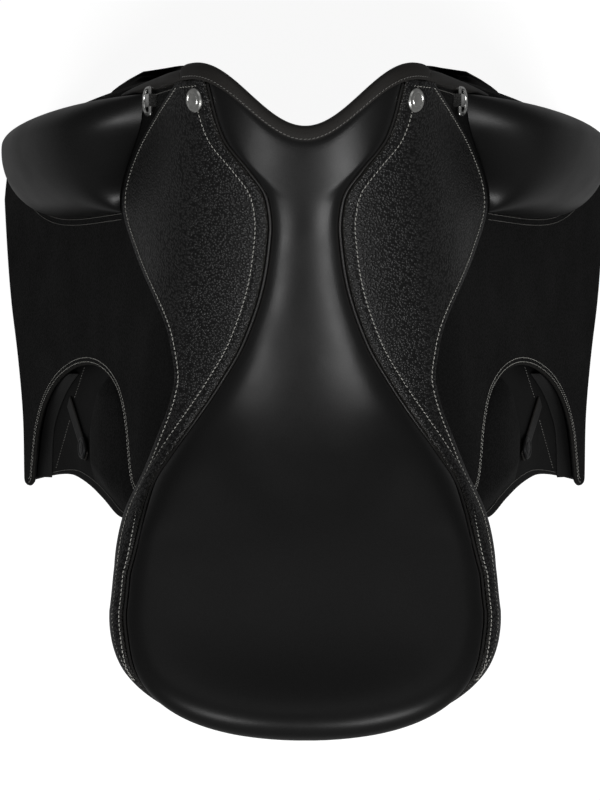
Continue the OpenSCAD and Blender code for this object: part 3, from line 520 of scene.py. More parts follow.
def on(surf, x, y, d):
    """Path over a plan line at height d above a surface, and the surface's normals along it."""
    x, y = np.broadcast_arrays(np.asarray(x, float), np.asarray(y, float))
    return lift(surf, x, y, d), normals(surf, x, y)

# %% [markdown]
# ## Seat
#
# The seat is one blocked piece of calf over foam. Its plan runs from the notched pommel through a
# narrow waist to the broad cantle. Rows of the grid bow forward near the pommel so that they follow
# the notch, and their spacing shrinks at the rear where the leather rolls over the cantle's rim. A low dome
# is added to the leather's height, so the seat stands proud of the skirts the way stuffed leather does.

# %% Seat leather
HIGH_SEAT, SKIRT_LOW, SKIRT_HIGH, FLAP_T, GAP = 4.85, 0.8, 3.8, 3.6, 0.35


def cantle_rows(first, n):
    """Places of n rows round the cantle, at even turns of its oval from the first angle, in degrees."""
    return CANTLE_Y - CANTLE_L * np.cos(np.radians(np.linspace(first, 90, n))) ** (2 / POWER)


def notch_rows(place, half, f):
    """Plan grid whose rows bow forward to follow the pommel's notch; place is a row's y at its two ends."""
    x = f[None, :] * half[:, None]
    bow = step((place - 60) / 150)[:, None]
    return x, place[:, None] - bow * (pommel_front(half)[:, None] - pommel_front(x))


front_end = float(pommel_front(64.0)) - 8.9
front_rim = front_end - np.array([4.5, 3, 1.5, 0.6, 0.0])
place = np.concatenate([cantle_rows(2.2, 46), np.linspace(-141, front_end - 6, 90), front_rim])
across = np.sin(np.pi / 2 * np.linspace(-1, 1, 121))
sx, sy = notch_rows(place, seat_w(place), across)
run = along(lift(seat_z, sx, sy, 2.0), 1)
inward = run * (run[:, -1:] - run) / run[:, -1:]
dome = 2.4 * (1 - np.exp(-(inward / 9) ** 2)) * step((front_end - sy + 20) / 60)
seat = leather("seat_leather", seat_z, sx, sy, HIGH_SEAT, GAP, CALF, "saddle", roll=8.0, swell=dome)
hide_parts("seat_cover")
print("seat:", len(seat.data.polygons), "faces,", round(outward(seat)), "cm3")

# %% [markdown]
# ## Skirts
#
# A skirt is a single piece of pebbled leather, but it has to bend where its rider lifts it. So it is drawn as
# three sheets that share their borders: the rear band that is sewn round the cantle, the sewn root up
# to the fold line, and the free part beyond it. None of the sheets is bent here, and the borders
# can't be seen because all three follow one formula.
# A sunk line for the inner row of stitches runs beside the border, and the leather rolls down to the welt.

# %% Skirts and their welts
WELT_R, ROOT_BEND, FREE_BEND = 1.1, (-10, -1), (0.5, 9)
fold_low, fold_high = (lift(seat_z, fold_x(v), v, SKIRT_HIGH + 2.5) for v in FOLD_Y)
fold_way = (fold_high - fold_low) / np.linalg.norm(fold_high - fold_low)
mid_y = sum(FOLD_Y) / 2
down = np.array([1.0, 0.0, float(seat_z(86.5, mid_y) - seat_z(85.5, mid_y))])
down -= fold_way * (down @ fold_way)
down /= np.linalg.norm(down)
fold_mid = lift(seat_z, fold_x(mid_y), mid_y, SKIRT_HIGH - 1.5)


def fold_blend(obj, first, second, begin, end, sign):
    """Bakes the piece's placement into its mesh and returns it; the piece is not bent, and first, second,
    begin, end and sign are not used.
    """
    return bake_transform(obj)


def welt_room(y):
    """Room for the welt between seat and skirt; it closes where the band runs out at the cantle's rear."""
    return np.minimum(2 * WELT_R + 0.9, 0.5 * (outline_w(y) - seat_w(y)))


def skirt_in(y):
    """Inner border of the skirt, beside the welt."""
    return seat_w(y) + welt_room(y)


def skirt_out(y):
    """Outer border of the skirt's free part, at least a little beyond the fold line."""
    return np.maximum(outline_w(y), fold_x(y) + 1.5)


def skirt_sheet(name, y, t, x_in, x_out, body, sign, rims, roll=False):
    """One sheet of skirt between two plan borders."""
    x = mix(x_in(y)[:, None], x_out(y)[:, None], t[None, :])
    yy = np.broadcast_to(y[:, None], x.shape)
    inner = (x - skirt_in(yy)) * 1.2
    bead, dive = 0.5 * np.exp(-((inner - 5) / 3) ** 2), 0.9 * np.exp(-inner / 1.5)
    bulge = bead - dive - 0.35 * np.exp(-((inner - 10) / 1.2) ** 2) if roll else 0.0
    obj = leather(name, seat_z, x, yy, SKIRT_HIGH, SKIRT_LOW, PEBBLE, body, sign, rims, swell=bulge)
    return obj


SPLIT_Y = 8.0
rear_rows = np.concatenate([cantle_rows(14, 40), np.linspace(-142, SPLIT_Y, 60)])
front_rows = mix(SPLIT_Y, 219.6, np.concatenate([np.linspace(0, 0.985, 90), [0.99, 0.995, 1.0]]))
narrow, fine = spaced(30, 30.0, 3.0), spaced(40, 70.0, 3.0)
for side, sign in SIDES.items():
    band = skirt_sheet(f"skirt_band_{side}", rear_rows, narrow, skirt_in, outline_w,
                       "saddle", sign, "wen", True)
    root = skirt_sheet(f"skirt_root_{side}_leather", front_rows, fine, skirt_in, fold_x,
                       None, sign, "ws", True)
    fold_blend(root, "saddle", f"flap_{side}", *ROOT_BEND, sign)
    free = skirt_sheet(f"skirt_free_{side}", front_rows, fine, fold_x, skirt_out, None, sign, "se")
    fold_blend(free, f"flap_{side}", f"skirt_{side}", *FREE_BEND, sign)
    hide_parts(f"skirt_root_{side}")
    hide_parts(f"skirt_{side}")
    if side == "right":
        print("skirt sheets:", [round(outward(o), 1) for o in (band, root, free)], "cm3")

# %% Welts
welt_y = np.concatenate([np.linspace(REAR_Y + 12, 110, 120), np.linspace(112, 217, 60)])
for side, sign in SIDES.items():
    path = lift(seat_z, seat_w(welt_y) + welt_room(welt_y) / 2, welt_y, 2.3)
    up = normals(seat_z, path[:, 0], path[:, 1])
    radius = np.minimum(WELT_R, welt_room(welt_y) / 2 + 0.25)
    obj = tube(f"welt_{side}_piping", path, up, radius, CALF, "saddle", sign)
    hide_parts(f"welt_{side}")
    if side == "right":
        print("welt:", round(outward(obj), 2), "cm3")

# %% [markdown]
# ## Flaps
#
# The flap is a stiff, flat piece: its outline does all the work. The rear edge has an arch-shaped cut that
# leaves room for the rider's girth buckles and shows the thigh pad below. The outline is drawn as three
# curves (rear, front and lower edge) and the grid is stretched between them. Where the stirrup bar
# stands under the skirt, the upper edge makes way for it.

# %% Flap outline and leather
FLAP_REAR = [(84, -72), (118, -70), (122, -66), (125, -58), (127, -45), (129.3, -21), (133.5, 0), (140, 13),
             (148.5, 21.5), (160, 26), (174, 24), (188, 14.5), (200, -3), (208, -26), (211.5, -50),
             (213, -62), (215.5, -66.5), (218, -66.8), (220, -65.5), (221, -62)]
FLAP_FRONT = [(84, 227), (130, 224), (171, 219), (195, 212), (210, 200), (218, 184), (221, 160)]
FLAP_FOOT = [(-60, 220.5), (-12, 222), (34, 227), (79, 233.5), (127, 238), (182, 241), (230, 240)]


RULE_TOP, RULE_FREE, RULE_LOW, RULE_FOOT = 84.0, 118.0, 180.0, 221.0


def beside_bar(y):
    """1 beside the stirrup bar, falling to 0 over five millimetres at both ends of its slot."""
    return step((y - 79) / 5) * step((170 - y) / 5)


def flap_top(y):
    """Upper edge of the flap: clear of the sewn skirt behind, on the fold line ahead, beside the bar."""
    edge = mix(np.maximum(fold_x(y), outline_w(y)) + 1.8, fold_x(y) + GAP, step((y - 9) / 9))
    return mix(edge, 97.8, beside_bar(y))


def flap_plan(xn, v):
    """Plan point of the flap: xn runs from RULE_TOP at the top edge to RULE_FOOT, v from rear to front."""
    y = mix(curve(FLAP_REAR, xn), curve(FLAP_FRONT, xn), v)
    foot = RULE_LOW + (xn - RULE_LOW) * (curve(FLAP_FOOT, y) - RULE_LOW) / (RULE_FOOT - RULE_LOW)
    top = np.minimum(flap_top(y), RULE_FREE - 1)
    upper = mix(top, RULE_FREE, (xn - RULE_TOP) / (RULE_FREE - RULE_TOP))
    return np.where(xn > RULE_LOW, foot, np.where(xn < RULE_FREE, upper, xn)), y


rule = np.concatenate([RULE_TOP + np.array([0, 0.3, 0.8, 1.6]), np.linspace(87, 117, 16),
                       np.linspace(118, 146, 30), np.linspace(147, 189, 26), np.linspace(190, 220, 26),
                       [220.4, 220.7, 220.9, RULE_FOOT]])
FX, FY = flap_plan(rule[None, :], spaced(90, 260.0, 4.0)[:, None])
shoulder_y, shoulder_t = np.linspace(-72, 12, 40)[:, None], spaced(6, 20.0, 3.0)[None, :]
shoulder_out = np.maximum(fold_x(shoulder_y) + 1, outline_w(shoulder_y) + 1.2)
shoulder_x = mix(fold_x(shoulder_y) - 4, shoulder_out, shoulder_t)
bead_x = np.linspace(80.8, 132, 60)
bead_line = on(flap_z, bead_x, curve(FLAP_FRONT, bead_x) - 4.6, 0.2)
bead_radius = 4.8 * np.sqrt(np.clip((133 - bead_x) / 40, 0.02, 1))
for side, sign in SIDES.items():
    flap = leather(f"flap_{side}_leather", flap_z, FX, FY, 0.0, -FLAP_T, FLAP, f"flap_{side}", sign)
    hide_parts(f"flap_{side}")
    shoulder = leather(f"flap_shoulder_{side}", flap_z, shoulder_x,
                       np.broadcast_to(shoulder_y, shoulder_x.shape), -0.3, -3.3, FLAP, "saddle", sign)
    bead = tube(f"flap_bead_{side}", *bead_line, bead_radius, STRAP, f"flap_{side}", sign, 16)
print("flap:", len(flap.data.polygons), "faces,", round(outward(flap)), "cm3")
print("bead:", round(outward(bead), 1), "cm3")

# %% [markdown]
# ## Knee blocks
#
# The knee block is a moulded foam wedge under polished calf. Its base is a rounded tongue on the flap;
# above it the height is a product of two curves. Along the block it climbs fast from the skirt, so that the
# upper end faces the sky, and then falls slowly to the tip. Across the block it is a flattened half circle
# whose ridge lies towards the front, because the rider's knee rests against the longer slope behind it.

# %% Knee blocks
def rise(t, edge):
    """Quarter-circle rise from 0 at t 0 to 1 at t equal to edge."""
    return np.sqrt(np.clip(1 - (1 - np.clip(t / edge, 0, 1)) ** 2, 0, 1))


BLOCK_REAR, BLOCK_FRONT, BLOCK_END, BLOCK_TALL = 135.5, 217.0, 210.5, 58.0


def block_plan(u, v):
    """Plan point of the block's base: u runs from the skirt's edge down the flap, v from rear to front."""
    y = mix(BLOCK_REAR + 18.5 * u**4.5, BLOCK_FRONT - 12 * u**2 - 4 * u**11, v)
    skirt = outline_w(np.minimum(BLOCK_FRONT, y)) + 3
    return mix((112 + skirt + np.hypot(skirt - 112, 12)) / 2, BLOCK_END, u), y


bu = spaced(56, 260.0, 40.0, 14)[None, :]
bv = spaced(44, 86.0, 14.0, 14)[:, None]
BX, BY = block_plan(bu, bv)
ridge = 0.74 - 0.1 * np.exp(-bu / 0.12)
ahead = bv > ridge
from_ridge = (bv - ridge) / np.where(ahead, 1 - ridge, ridge)
girth = np.maximum(0, 1 - from_ridge**2) ** np.where(ahead, 0.42, 0.6)
climb = (1 - np.exp(-bu / 0.04)) * (1 - np.exp(-np.maximum(0, BX - 122 + 14 * bv) / 12))
tall = 0.5 + BLOCK_TALL * girth * climb * (1 - bu**3.9) ** 0.66
for side, sign in SIDES.items():
    top, under = lift(flap_z, BX, BY, tall), lift(flap_z, BX, BY, 0.4)
    block = pillow(f"knee_block_{side}_calf", top, under, BLOCK, f"flap_{side}", sign)
    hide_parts(f"knee_block_{side}")
print("knee block:", round(outward(block)), "cm3, height", round(float(tall.max()), 1), "mm")

# %% [markdown]
# ## Under the flaps
#
# The sweat flap keeps the girth buckles off the horse. The thigh pad, the thigh roll, the keeper strap and
# its stud show in the flap's arch. They are sewn to the sweat flap, so they stay still when the flap is
# lifted.

# %% Sweat flaps, thigh pads, thigh rolls and keeper straps
SWEAT_HIGH, SWEAT_LOW = -9.6, -12.6
SWEAT_REAR = [(90, -90), (140, -86), (155, -73), (164, -65.5), (173, -60), (181, -57), (190, -57),
              (203, -59.5), (216, -63)]
SWEAT_FRONT = [(90, 214), (101, 221), (112, 227), (130, 228), (171, 223), (195, 214), (206, 200), (216, 165)]
PAD_INNER = [(-82, 129), (-20, 131), (0, 135), (12, 140), (22, 146)]
PAD_OUTER = [(-82, 160), (-60, 165), (-42, 164.5), (-25, 164.5), (-12, 162), (4, 156.5), (18, 150), (22, 148)]
ROLL_INNER = [(-60, 204), (-28, 203), (-12, 199), (5, 191), (14, 184.5), (17, 182), (20, 179.3)]
ROLL_OUTER = [(-60, 222), (-26, 220), (-3, 211), (6, 204), (14, 195), (17, 190.5), (20, 184)]
st, sv = spaced(60, 400.0, 4.0), spaced(70, 280.0, 4.0)[:, None]
sn = mix(90.0, 216.0, st)
SY = mix(curve(SWEAT_REAR, sn)[None, :], curve(SWEAT_FRONT, sn)[None, :], sv)
sweat_top = mix(fold_x(SY) + 3, 98.6, beside_bar(SY))
SX = mix(sweat_top, curve(FLAP_FOOT, SY) - 4 + 7 * step((-10 - SY) / 30), st[None, :])


def plane_strap(name, start, end, width, low, high, material, body, sign):
    """Flat strap on the flap's plane between two plan points, with round edges."""
    tilt = np.array([np.cos(TILT), 1.0])
    a, b = np.array(start) / tilt, np.array(end) / tilt
    way = (b - a) / np.linalg.norm(b - a)
    side_way = np.array([-way[1], way[0]])
    t, w = spaced(24, np.linalg.norm(b - a), 2.0), (0.5 - spaced(8, width, 2.0)) * width
    taper = (1 - 0.35 * (1 - rise(t, 0.12)))[:, None, None]
    spot = (a + (b - a) * t[:, None, None] + side_way * w[None, :, None] * taper) * tilt
    return leather(name, flap_z, spot[..., 0], spot[..., 1], high, low, material, body, sign)


pt, pv = spaced(34, 100.0, 14.0, 8)[None, :], spaced(44, 84.0, 10.0, 7)[:, None]
pad_y = mix(curve(SWEAT_REAR, mix(130.0, 165.0, pt)) + 5, 21.0, pv)
pad_x = mix(curve(PAD_INNER, pad_y), curve(PAD_OUTER, pad_y), pt)
crown = 3 + 9 * np.sin(np.pi * pt) ** 0.6 * step(pv / 0.25) * step((1 - pv) / 0.2)
puff = 0.4 + crown * rise(np.minimum(pt, 1 - pt), 0.13) * rise(np.minimum(pv, 1 - pv), 0.12)
rt, rv = spaced(20, 34.0, 5.0)[None, :], spaced(50, 80.0, 6.0)[:, None]
roll_y = mix(-60.0, 20.0, rv) + 0 * rt
roll_x = mix(curve(ROLL_INNER, roll_y), curve(ROLL_OUTER, roll_y), rt)
swell = mix(0.6, 4.8, step(rt / 0.62)) * rise(np.minimum(rt, 1 - rt), 0.08)
for side, sign in SIDES.items():
    sweat = leather(f"sweat_flap_{side}_leather", flap_z, SX, SY, SWEAT_HIGH, SWEAT_LOW,
                    PANEL, "saddle", sign)
    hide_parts(f"sweat_flap_{side}")
    pad = pillow(f"thigh_pad_{side}_calf", lift(flap_z, pad_x, pad_y, SWEAT_HIGH + 0.3 + puff),
                 lift(flap_z, pad_x, pad_y, SWEAT_HIGH + GAP), FLAP, "saddle", sign)
    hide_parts(f"thigh_pad_{side}")
    roll = pillow(f"thigh_roll_{side}_leather", lift(flap_z, roll_x, roll_y, SWEAT_HIGH + 0.4 + swell),
                  lift(flap_z, roll_x, roll_y, SWEAT_HIGH + GAP), STRAP, "saddle", sign)
    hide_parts(f"thigh_roll_{side}")
    keeper = plane_strap(f"keeper_{side}_leather", (171.3, -43.0), (187, -1), 11.0,
                         SWEAT_HIGH + GAP, SWEAT_HIGH + GAP + 2, STRAP, "saddle", sign)
    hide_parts(f"keeper_strap_{side}")
print("sweat flap, pad, roll, keeper:", [round(outward(o), 1) for o in (sweat, pad, roll, keeper)], "cm3")

# %% [markdown]
# ## Pommel roll and cantle facing
#
# A rolled strip of leather closes the front of the pommel, and a leather wall closes the back of the cantle
# between the seat's rim and the panels. The roll is a half-round section carried along the notch. The wall
# follows the cantle's oval and leans in towards its foot.

# %% Pommel roll and cantle facing
FACING_W, FACING_HALF, FACING_DEEP, ROLL_R, ROLL_TOP = 9.0, 83.6, 37.0, 5.2, 4.9
WALL_FRONT, WALL_TAPER, WALL_DEEP, WALL_DROP, REAR_SHARE = -53.0, 27.0, 42.0, 3.0, 0.6


def roll_frame(x):
    """Points along the pommel's front, where the roll is laid, and the upright direction at each."""
    upright = normals(seat_z, x, pommel_front(x) - FACING_W) * [1, 0, 1]
    return (lift(seat_z, x, pommel_front(x) - FACING_W + GAP, GAP),
            upright / np.linalg.norm(upright, axis=1, keepdims=True))


fx = np.linspace(FACING_HALF, -FACING_HALF, 161)
base, fn = roll_frame(fx)
fa = np.radians(np.linspace(-90, 90, 41))
bead = np.where(fa > 0, ROLL_R, FACING_DEEP - ROLL_R)
front_out = 1 + 7.3 * np.cos(fa) ** np.where(fa > 0, 0.9, 0.55)
front = np.stack([front_out, ROLL_TOP - ROLL_R + bead * np.sin(fa)], -1)
lip = np.array([(-1.5, 4.85), (-3.0, 4.6), (-3.5, 4.0), (-3.3, 3.3), (-1.5, 2.6)])
section = np.concatenate([front, lip, np.stack([np.zeros(8), np.linspace(2.0, 5.0 - FACING_DEEP, 8)], -1)])
ends = np.sqrt(np.clip(1 - (np.abs(fx) / FACING_HALF) ** 60, 0.0004, 1))
out = section[None, :, :1] * ends[:, None, None]
up = section[None, :, 1:] * mix(0.3, 1.0, ends)[:, None, None]
roll = (base[:, None] + np.array([0, 1.0, 0]) * out + fn[:, None] * np.maximum(up, 0)
        + np.array([0, 0, 1.0]) * np.minimum(up, 0))
index = np.arange(roll.size // 3).reshape(roll.shape[:2])
facing = make_mesh("pommel_roll", roll.reshape(-1, 3), skin(index), STRAP, "saddle")
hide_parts("pommel_facing")

place = np.linspace(-1, 1, 181)


def cantle_rim(place, inset):
    """Plan point of the cantle's outline, from the left front end (-1) over the rear (0) to the right (1)."""
    t = np.abs(place)
    a = np.radians(90 * np.minimum(1, t / REAR_SHARE))
    y_side = mix(CANTLE_Y, WALL_FRONT, (t - REAR_SHARE) / (1 - REAR_SHARE))
    x_rear = (CANTLE_W - inset) * np.sin(a) ** (2 / POWER)
    y_rear = CANTLE_Y - (CANTLE_L - inset) * np.maximum(0, np.cos(a)) ** (2 / POWER)
    x = np.where(t > REAR_SHARE, outline_w(y_side) - inset, x_rear)
    return np.sign(place) * x, np.where(t > REAR_SHARE, y_side, y_rear)


loop_v = np.concatenate([np.linspace(0, 1, 16), np.linspace(1, 0, 16)])
loop_in = np.concatenate([1 - 0.9 * np.sin(np.pi * np.linspace(0, 1, 16)), np.full(16, 3.5)])
px, py = cantle_rim(place[:, None], loop_in[None, :] + 10 * (1 - loop_v[None, :]))
rx, ry = cantle_rim(place, 1.0)
deep = mix(WALL_DEEP, 18.0, step(1 + (ry - WALL_FRONT) / WALL_TAPER))
wall_z = (seat_z(rx, ry) - WALL_DROP)[:, None] - deep[:, None] * (1 - loop_v[None, :])
wall = np.stack([px, py, wall_z], -1)
wall[[0, -1]] = wall[[0, -1]].mean(1, keepdims=True)
index = np.arange(wall.size // 3).reshape(wall.shape[:2])
back = make_mesh("cantle_wall", wall.reshape(-1, 3), skin(index), PANEL, "saddle")
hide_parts("cantle_facing")
print("roll and wall volumes:", round(outward(facing), 1), round(outward(back), 1), "cm3")

# %% [markdown]
# ## Seams
#
# Now the rows of stitches are laid. Each row is a line in plan at a fixed distance from an edge. Most rows
# ride on the piece that they are sewn into; the rows on the skirts' root and free part ride on no body and
# are not bent. On the flap's plane a distance has to be measured along the slope, so the edge is unrolled
# first, moved sideways there and rolled back.

# %% Stitch rows
def beside(x, y, gap):
    """Plan line at a distance beside a line on the flap's plane, to the left of its direction."""
    flat = np.stack([x / np.cos(TILT), y], -1)
    way = np.gradient(flat, axis=0)
    way /= np.linalg.norm(way, axis=1, keepdims=True)
    return (flat[:, 0] - way[:, 1] * gap) * np.cos(TILT), flat[:, 1] + way[:, 0] * gap


def edge_gap(y, near, far):
    """Distance of a skirt row from its edge: near on the narrow rear band and far on the broad skirt."""
    return mix(near, far, step((y + 115) / 110))


def sewn(name, surf, x, y, d, body, sign, *style):
    """Stitches over a plan line at height d above a surface; style is pitch, thickness, lean, thread."""
    return stitch_row(name, *on(surf, x, y, d), body, sign, *style)


ARCH_ROW, DARK_ROW = (2.9, 0.65), (2.9, 0.65, 0.2, DARK_THREAD)
TIGHT_ROW, ROLL_ROW = (2.2, 0.5, 0.05, DARK_THREAD), (2.9, 0.6, 0.2, DARK_THREAD)
SWEAT_SEAMS = ((174.6, 25), (183.6, 1.5)), ((188, -15), (200.8, -53))
SKIRT_ROW_IN, SKIRT_ROW_OUT = 8.33, 3.2
skirt_d, flap_d, sweat_d = SKIRT_HIGH + 0.1, 0.1, SWEAT_HIGH + 0.1
band_y, skirt_y = np.linspace(REAR_Y + 34, SPLIT_Y - 0.5, 200), np.linspace(SPLIT_Y + 0.5, 215, 200)
band_out = outline_w(band_y) - edge_gap(band_y, 2.8, SKIRT_ROW_OUT)
band_in = skirt_in(band_y) + edge_gap(band_y, 1.3, SKIRT_ROW_IN)
skirt_row_in, skirt_row_out = skirt_in(skirt_y) + SKIRT_ROW_IN, outline_w(skirt_y) - SKIRT_ROW_OUT
arch = flap_plan(np.linspace(118.5, 216, 240), 0.0)
block_edge = block_plan(1 - (1 - np.linspace(0.0, 0.97, 160)) ** 2, 0.0)
front_x, rear_x = np.linspace(92, 126, 60), np.linspace(132, 203, 90)
front_y, sweat_edge = curve(FLAP_FRONT, front_x) - 11.5, beside(rear_x, curve(SWEAT_REAR, rear_x), 3.6)
made = []
for side, sign in SIDES.items():
    flap, skirt = f"flap_{side}", f"skirt_{side}"
    made.append(sewn(f"band_seam_{side}", seat_z, band_out, band_y, skirt_d, "saddle", sign))
    made.append(sewn(f"seat_seam_{side}", seat_z, band_in, band_y, skirt_d - 0.2, "saddle", sign))
    inner = sewn(f"root_seam_{side}", seat_z, skirt_row_in, skirt_y, skirt_d - 0.3, None, sign)
    front = sewn(f"front_seam_{side}", seat_z, np.linspace(70.5, 83, 40), 214.6, skirt_d, None, sign)
    outer = sewn(f"skirt_seam_{side}", seat_z, skirt_row_out, skirt_y, skirt_d, None, sign)
    made += [fold_blend(row, "saddle", flap, *ROOT_BEND, sign) for row in (inner, front)]
    made.append(fold_blend(outer, flap, skirt, *FREE_BEND, sign))
    for k, gap in enumerate((2.4, 5.4)):
        line = beside(*arch, gap)
        made.append(sewn(f"arch_seam_{side}_{k}", flap_z, *line, flap_d, flap, sign, *ARCH_ROW))
    for k, gap in enumerate((1.0, 5.2)):
        line = beside(*block_edge, -gap)
        made.append(sewn(f"block_seam_{side}_{k}", flap_z, *line, flap_d, flap, sign, *TIGHT_ROW))
    made.append(sewn(f"edge_seam_{side}", flap_z, front_x, front_y, flap_d, flap, sign, *DARK_ROW))
    for k, (start, stop) in enumerate(SWEAT_SEAMS):
        line = np.linspace(start, stop, 30).T
        made.append(sewn(f"sweat_seam_{side}_{k}", flap_z, *line, sweat_d, "saddle", sign, *DARK_ROW))
    made.append(sewn(f"sweat_edge_{side}", flap_z, *sweat_edge, sweat_d, "saddle", sign, *TIGHT_ROW))
roll_base, roll_up = roll_frame(np.linspace(-80, 80, 300))
roll_path = roll_base + [0, -1.2, 0] + ROLL_TOP * roll_up
made.append(stitch_row("roll_seam", roll_path, roll_up, "saddle", 1, *ROLL_ROW))
stitches = sum(len(o.data.vertices) for o in made) // (len(THREAD_RINGS) * THREAD_SIDES)
print("stitch rows:", len(made), "with", stitches, "stitches")

# %% [markdown]
# ## Panels
#
# The two panels are wool-stuffed cushions that spread the rider's weight along the horse's back. Their
# tops lie against the tree, so only their sides and undersides show. The section is a flat top and a
# swollen belly, drawn in at both edges, and both ends are rounded off.

# %% Panels
PANEL_FRONT, PANEL_REAR = 240.0, REAR_Y + 18
NOSE, TAIL = 16.0, 22.0
TREE_LOW, LINING_LOW, FOAM_HIGH, FOAM_LOW = -33.3, -35.1, -0.8, -14.8
PANEL_EDGE = [(PANEL_REAR, 54), (REAR_Y + 25, 74), (REAR_Y + 40, 97), (-145, 115), (-100, 116), (-50, 128),
              (0, 146), (80, 152), (160, 152), (190, 151), (205, 151), (220, 149), (228, 143), (233, 131),
              (237, 116), (PANEL_FRONT, 98)]


def offset_height(surf, x, y, d):
    """Height of the surface's parallel at distance d: the foot of the normal is found in four rounds."""
    u, v = x, y
    for _ in range(4):
        n = normals(surf, u, v)
        u, v = x - d * n[..., 0], y - d * n[..., 1]
    return lift(surf, u, v, d)[..., 2]


def panel_top(x, y):
    """Top of the panel: under the tree, under the sweat flap beside it, below the wall at the rear."""
    tree, flap = offset_height(seat_z, x, y, TREE_LOW), offset_height(flap_z, x, y, SWEAT_LOW - 0.8)
    wall_foot = crest(y, CLIMB) + RIM_RISE - RIM_ROLL - WALL_DEEP - WALL_DROP
    ahead = mix(np.minimum(tree, flap), flap, step((x - 102) / 16) * step((y + 16) / 32))
    behind = mix(tree, np.minimum(tree, wall_foot), step((rim_share(x, y) - 0.62) / 0.16))
    return mix(behind, ahead, step((y + 125) / 30))


tail_rows = mix(PANEL_REAR, PANEL_REAR + TAIL, 1 - np.cos(np.linspace(0, np.pi / 2, 10)))[:-1]
nose_rows = PANEL_FRONT - NOSE * np.cos(np.linspace(0, np.pi / 2, 9))[1:]
row = np.concatenate([tail_rows, np.linspace(PANEL_REAR + TAIL, PANEL_FRONT - NOSE, 70), nose_rows])[:, None]
pt = spaced(34, 100.0, 8.0, 6)[None, :]
px = mix(36.0, curve(PANEL_EDGE, row), pt)
py = row - 36 * step((row - 120) / (PANEL_FRONT - 120)) * (1 - pt) ** 2
top_z = panel_top(px, py)
low_z = np.minimum(offset_height(lambda x, y: section_z(x, crest(y, 0.0012)), px, py, -50.0), top_z - 7)
draw = 0.42 + 0.58 * np.sin(np.pi * pt) ** 0.45
close = 0.45 + 0.55 * step((row - PANEL_REAR + 2) / TAIL) * step((PANEL_FRONT + 2 - row) / TAIL)
end_round = rise((row - PANEL_REAR) / TAIL, 1.0) * rise((PANEL_FRONT - row) / NOSE, 1.0)
edge_round = rise(np.minimum(pt, 1 - pt), 0.09)
belly = (top_z - low_z) * draw * close * mix(0.55, 1.0, end_round) * mix(0.35, 1.0, edge_round)
flare = 14 * step((-80 - py) / 80)
foot = np.stack([px + flare * pt, py - flare * step((REAR_Y + 45 - py) / 27), top_z - belly], -1)
crown_top = np.stack([px, py, top_z - 2.0 * (1 - rise(np.minimum(pt, 1 - pt), 0.06))], -1)
loops = np.concatenate([crown_top, foot[:, ::-1]], 1)
middle = loops[[0, -1]].mean(1, keepdims=True)
caps = middle + (loops[[0, -1]] - middle) * 0.3
loops = np.concatenate([caps[:1], loops, caps[1:]])
index = np.arange(loops.size // 3).reshape(loops.shape[:2])
for side, sign in SIDES.items():
    panel = make_mesh(f"panel_{side}_cushion", loops.reshape(-1, 3), skin(index)[:, ::-1], PANEL,
                      "saddle", sign)
    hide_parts(f"panel_{side}")
print("panel:", len(panel.data.polygons), "faces,", round(outward(panel)), "cm3")

# %% Foam and lining that lie inside the seat


def front_limit(x, d):
    """Front end of a hidden layer at depth d, behind the pommel roll."""
    n = normals(seat_z, x, pommel_front(x) - FACING_W)
    return pommel_front(x + d * n[..., 0]) - FACING_W - 0.7 - d * n[..., 1]


lx = np.linspace(-34.4, 34.4, 24)
ly = mix(REAR_Y + 42, front_limit(lx, LINING_LOW)[None, :], np.linspace(0, 1, 60)[:, None])
lining = leather("channel_lining", seat_z, np.broadcast_to(lx, ly.shape), ly, TREE_LOW, LINING_LOW,
                 PANEL, "saddle")
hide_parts("gullet_lining")
place = np.concatenate([np.linspace(REAR_Y + 9, REAR_Y + 24, 12), np.linspace(REAR_Y + 28, 205, 50)])
half = np.minimum(0.93 * outline_w(np.maximum(place, REAR_Y + 8)),
                  mix(fold_x(place) - 2, 400, step((-50 - place) / 30)))
half = np.where((place > 84) & (place < 166), 76.0, half)
mx, my = notch_rows(place, half, np.sin(np.pi / 2 * np.linspace(-1, 1, 61)))
mx, my = np.concatenate([mx, mx[-1:]]), np.concatenate([my, front_limit(mx[-1:], FOAM_LOW)])
foam = leather("seat_foam_block", seat_z, mx, my, FOAM_HIGH, FOAM_LOW, FOAM, "saddle", roll=5.0)
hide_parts("seat_foam")
print("foam:", round(outward(foam)), "cm3")

# %% [markdown]
# ## Stage, light and camera
#
# The photograph looks straight down from a little under three metres, with soft lights behind, beside and
# ahead of the saddle on a white ground. The lights are large so that the black leather shows long, soft
# reflections. The ground is white for the camera, and reflections show only a part of that white. The
# camera stands above the saddle's middle with the pommel at the top of the picture.

# %% Floor, lights and camera
FLOOR_HALF, FLOOR_Z = 6.0, float(cad_low.z) - 0.002
corners = [(x * FLOOR_HALF, y * FLOOR_HALF, FLOOR_Z) for x, y in ((-1, -1), (1, -1), (1, 1), (-1, 1))]
floor_mesh = bpy.data.meshes.new("floor")
floor_mesh.from_pydata(corners, [], [(0, 1, 2, 3)])
floor = bpy.data.objects.new("floor", floor_mesh)
bpy.context.scene.collection.objects.link(floor)
ground, tree, shader = new_material("white studio ground", "#f2f2f2", 0.9)
ray = add(tree, "ShaderNodeLightPath").outputs
seen = calc(tree, "MULTIPLY_ADD", ray["Is Glossy Ray"], 0.15, ray["Is Camera Ray"])
seen = calc(tree, "MAXIMUM", seen, ray["Is Transmission Ray"])
tone = add(tree, "ShaderNodeMix", {"data_type": "RGBA"},
           {0: seen, 6: linear("#6a6a6a"), 7: linear("#808080")})
tree.links.new(tone.outputs[2], shader.inputs["Base Color"])
tree.links.new(calc(tree, "MULTIPLY", seen, 0.9), shader.inputs["Emission Strength"])
shader.inputs["Emission Color"].default_value = (1, 1, 1, 1)
floor_mesh.materials.append(ground)
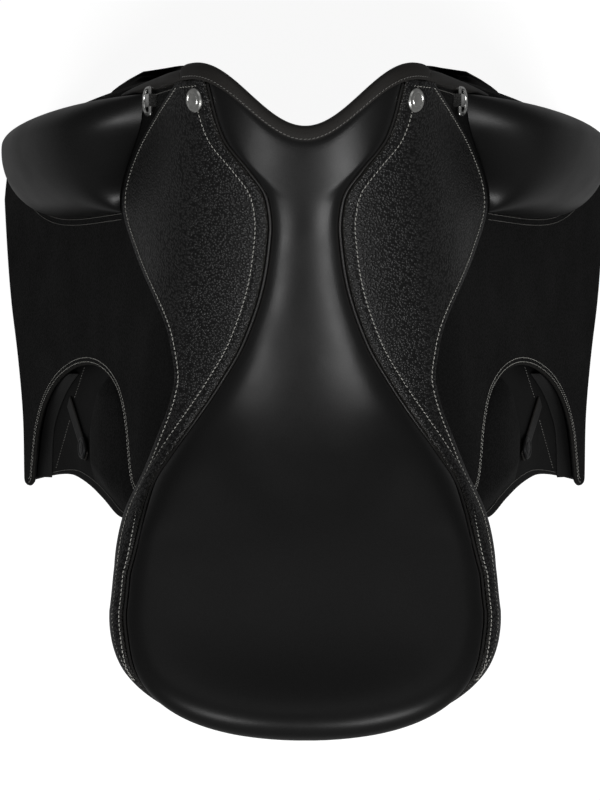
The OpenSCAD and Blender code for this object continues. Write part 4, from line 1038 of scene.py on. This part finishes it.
floor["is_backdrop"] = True


def soft_box(name, at, aim, wide, tall, watts):
    """Rectangular area light at a place, turned to face a point."""
    light = bpy.data.lights.new(name, "AREA")
    light.shape, light.size, light.size_y, light.energy = "RECTANGLE", wide, tall, watts
    lamp = bpy.data.objects.new(name, light)
    bpy.context.scene.collection.objects.link(lamp)
    way = np.array(aim, float) - np.array(at, float)
    lamp.location = at
    lamp.rotation_mode = "QUATERNION"
    lamp.rotation_quaternion = Vector(way).to_track_quat("-Z", "Y")
    return lamp


soft_box("left_box", (-0.85, -0.8, 1.6), (0, 0, 0), 0.5, 0.7, 20)
soft_box("right_box", (0.85, -0.8, 1.6), (0, 0, 0), 0.5, 0.7, 20)
soft_box("rear_box", (0.6, -0.98, 1.75), (0, 0, 0), 0.4, 0.45, 9)
soft_box("front_box", (0.0, 1.5, 1.3), (0, 0.1, 0), 2.4, 1.2, 5)
scene = bpy.context.scene
scene.view_settings.view_transform = "Standard"
world = bpy.data.worlds.new("studio")
scene.world = world
world.use_nodes = True
tree = world.node_tree
shader = tree.nodes["Background"]
shader.inputs["Color"].default_value = (1, 1, 1, 1)
ray = add(tree, "ShaderNodeLightPath").outputs
sky = calc(tree, "MULTIPLY_ADD", ray["Is Camera Ray"], 0.88, 0.12)
sky = calc(tree, "MULTIPLY_ADD", ray["Is Glossy Ray"], 0.03, sky)
sky = calc(tree, "MAXIMUM", sky, ray["Is Transmission Ray"])
tree.links.new(sky, shader.inputs["Strength"])
SEAT_LEVEL, CAMERA_UP, PHOTO_PIXELS, PIXEL = 0.078, 2.6, 800, 0.00069
lens = bpy.data.cameras.new("photo_camera")
lens.sensor_width = 36
lens.lens = 36 * CAMERA_UP / (PHOTO_PIXELS * PIXEL)
camera = bpy.data.objects.new("photo_camera", lens)
camera.location = (-0.0035, 0.0, SEAT_LEVEL + CAMERA_UP)
scene.collection.objects.link(camera)
scene.camera = camera

# %% Size, then finish
new_low, new_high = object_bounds()
grown = [(a - b) * 1000 for a, b in zip([*cad_low, *new_high], [*new_low, *cad_high])]
print("grown by, mm, at the low and high sides:", [round(g, 1) for g in grown])
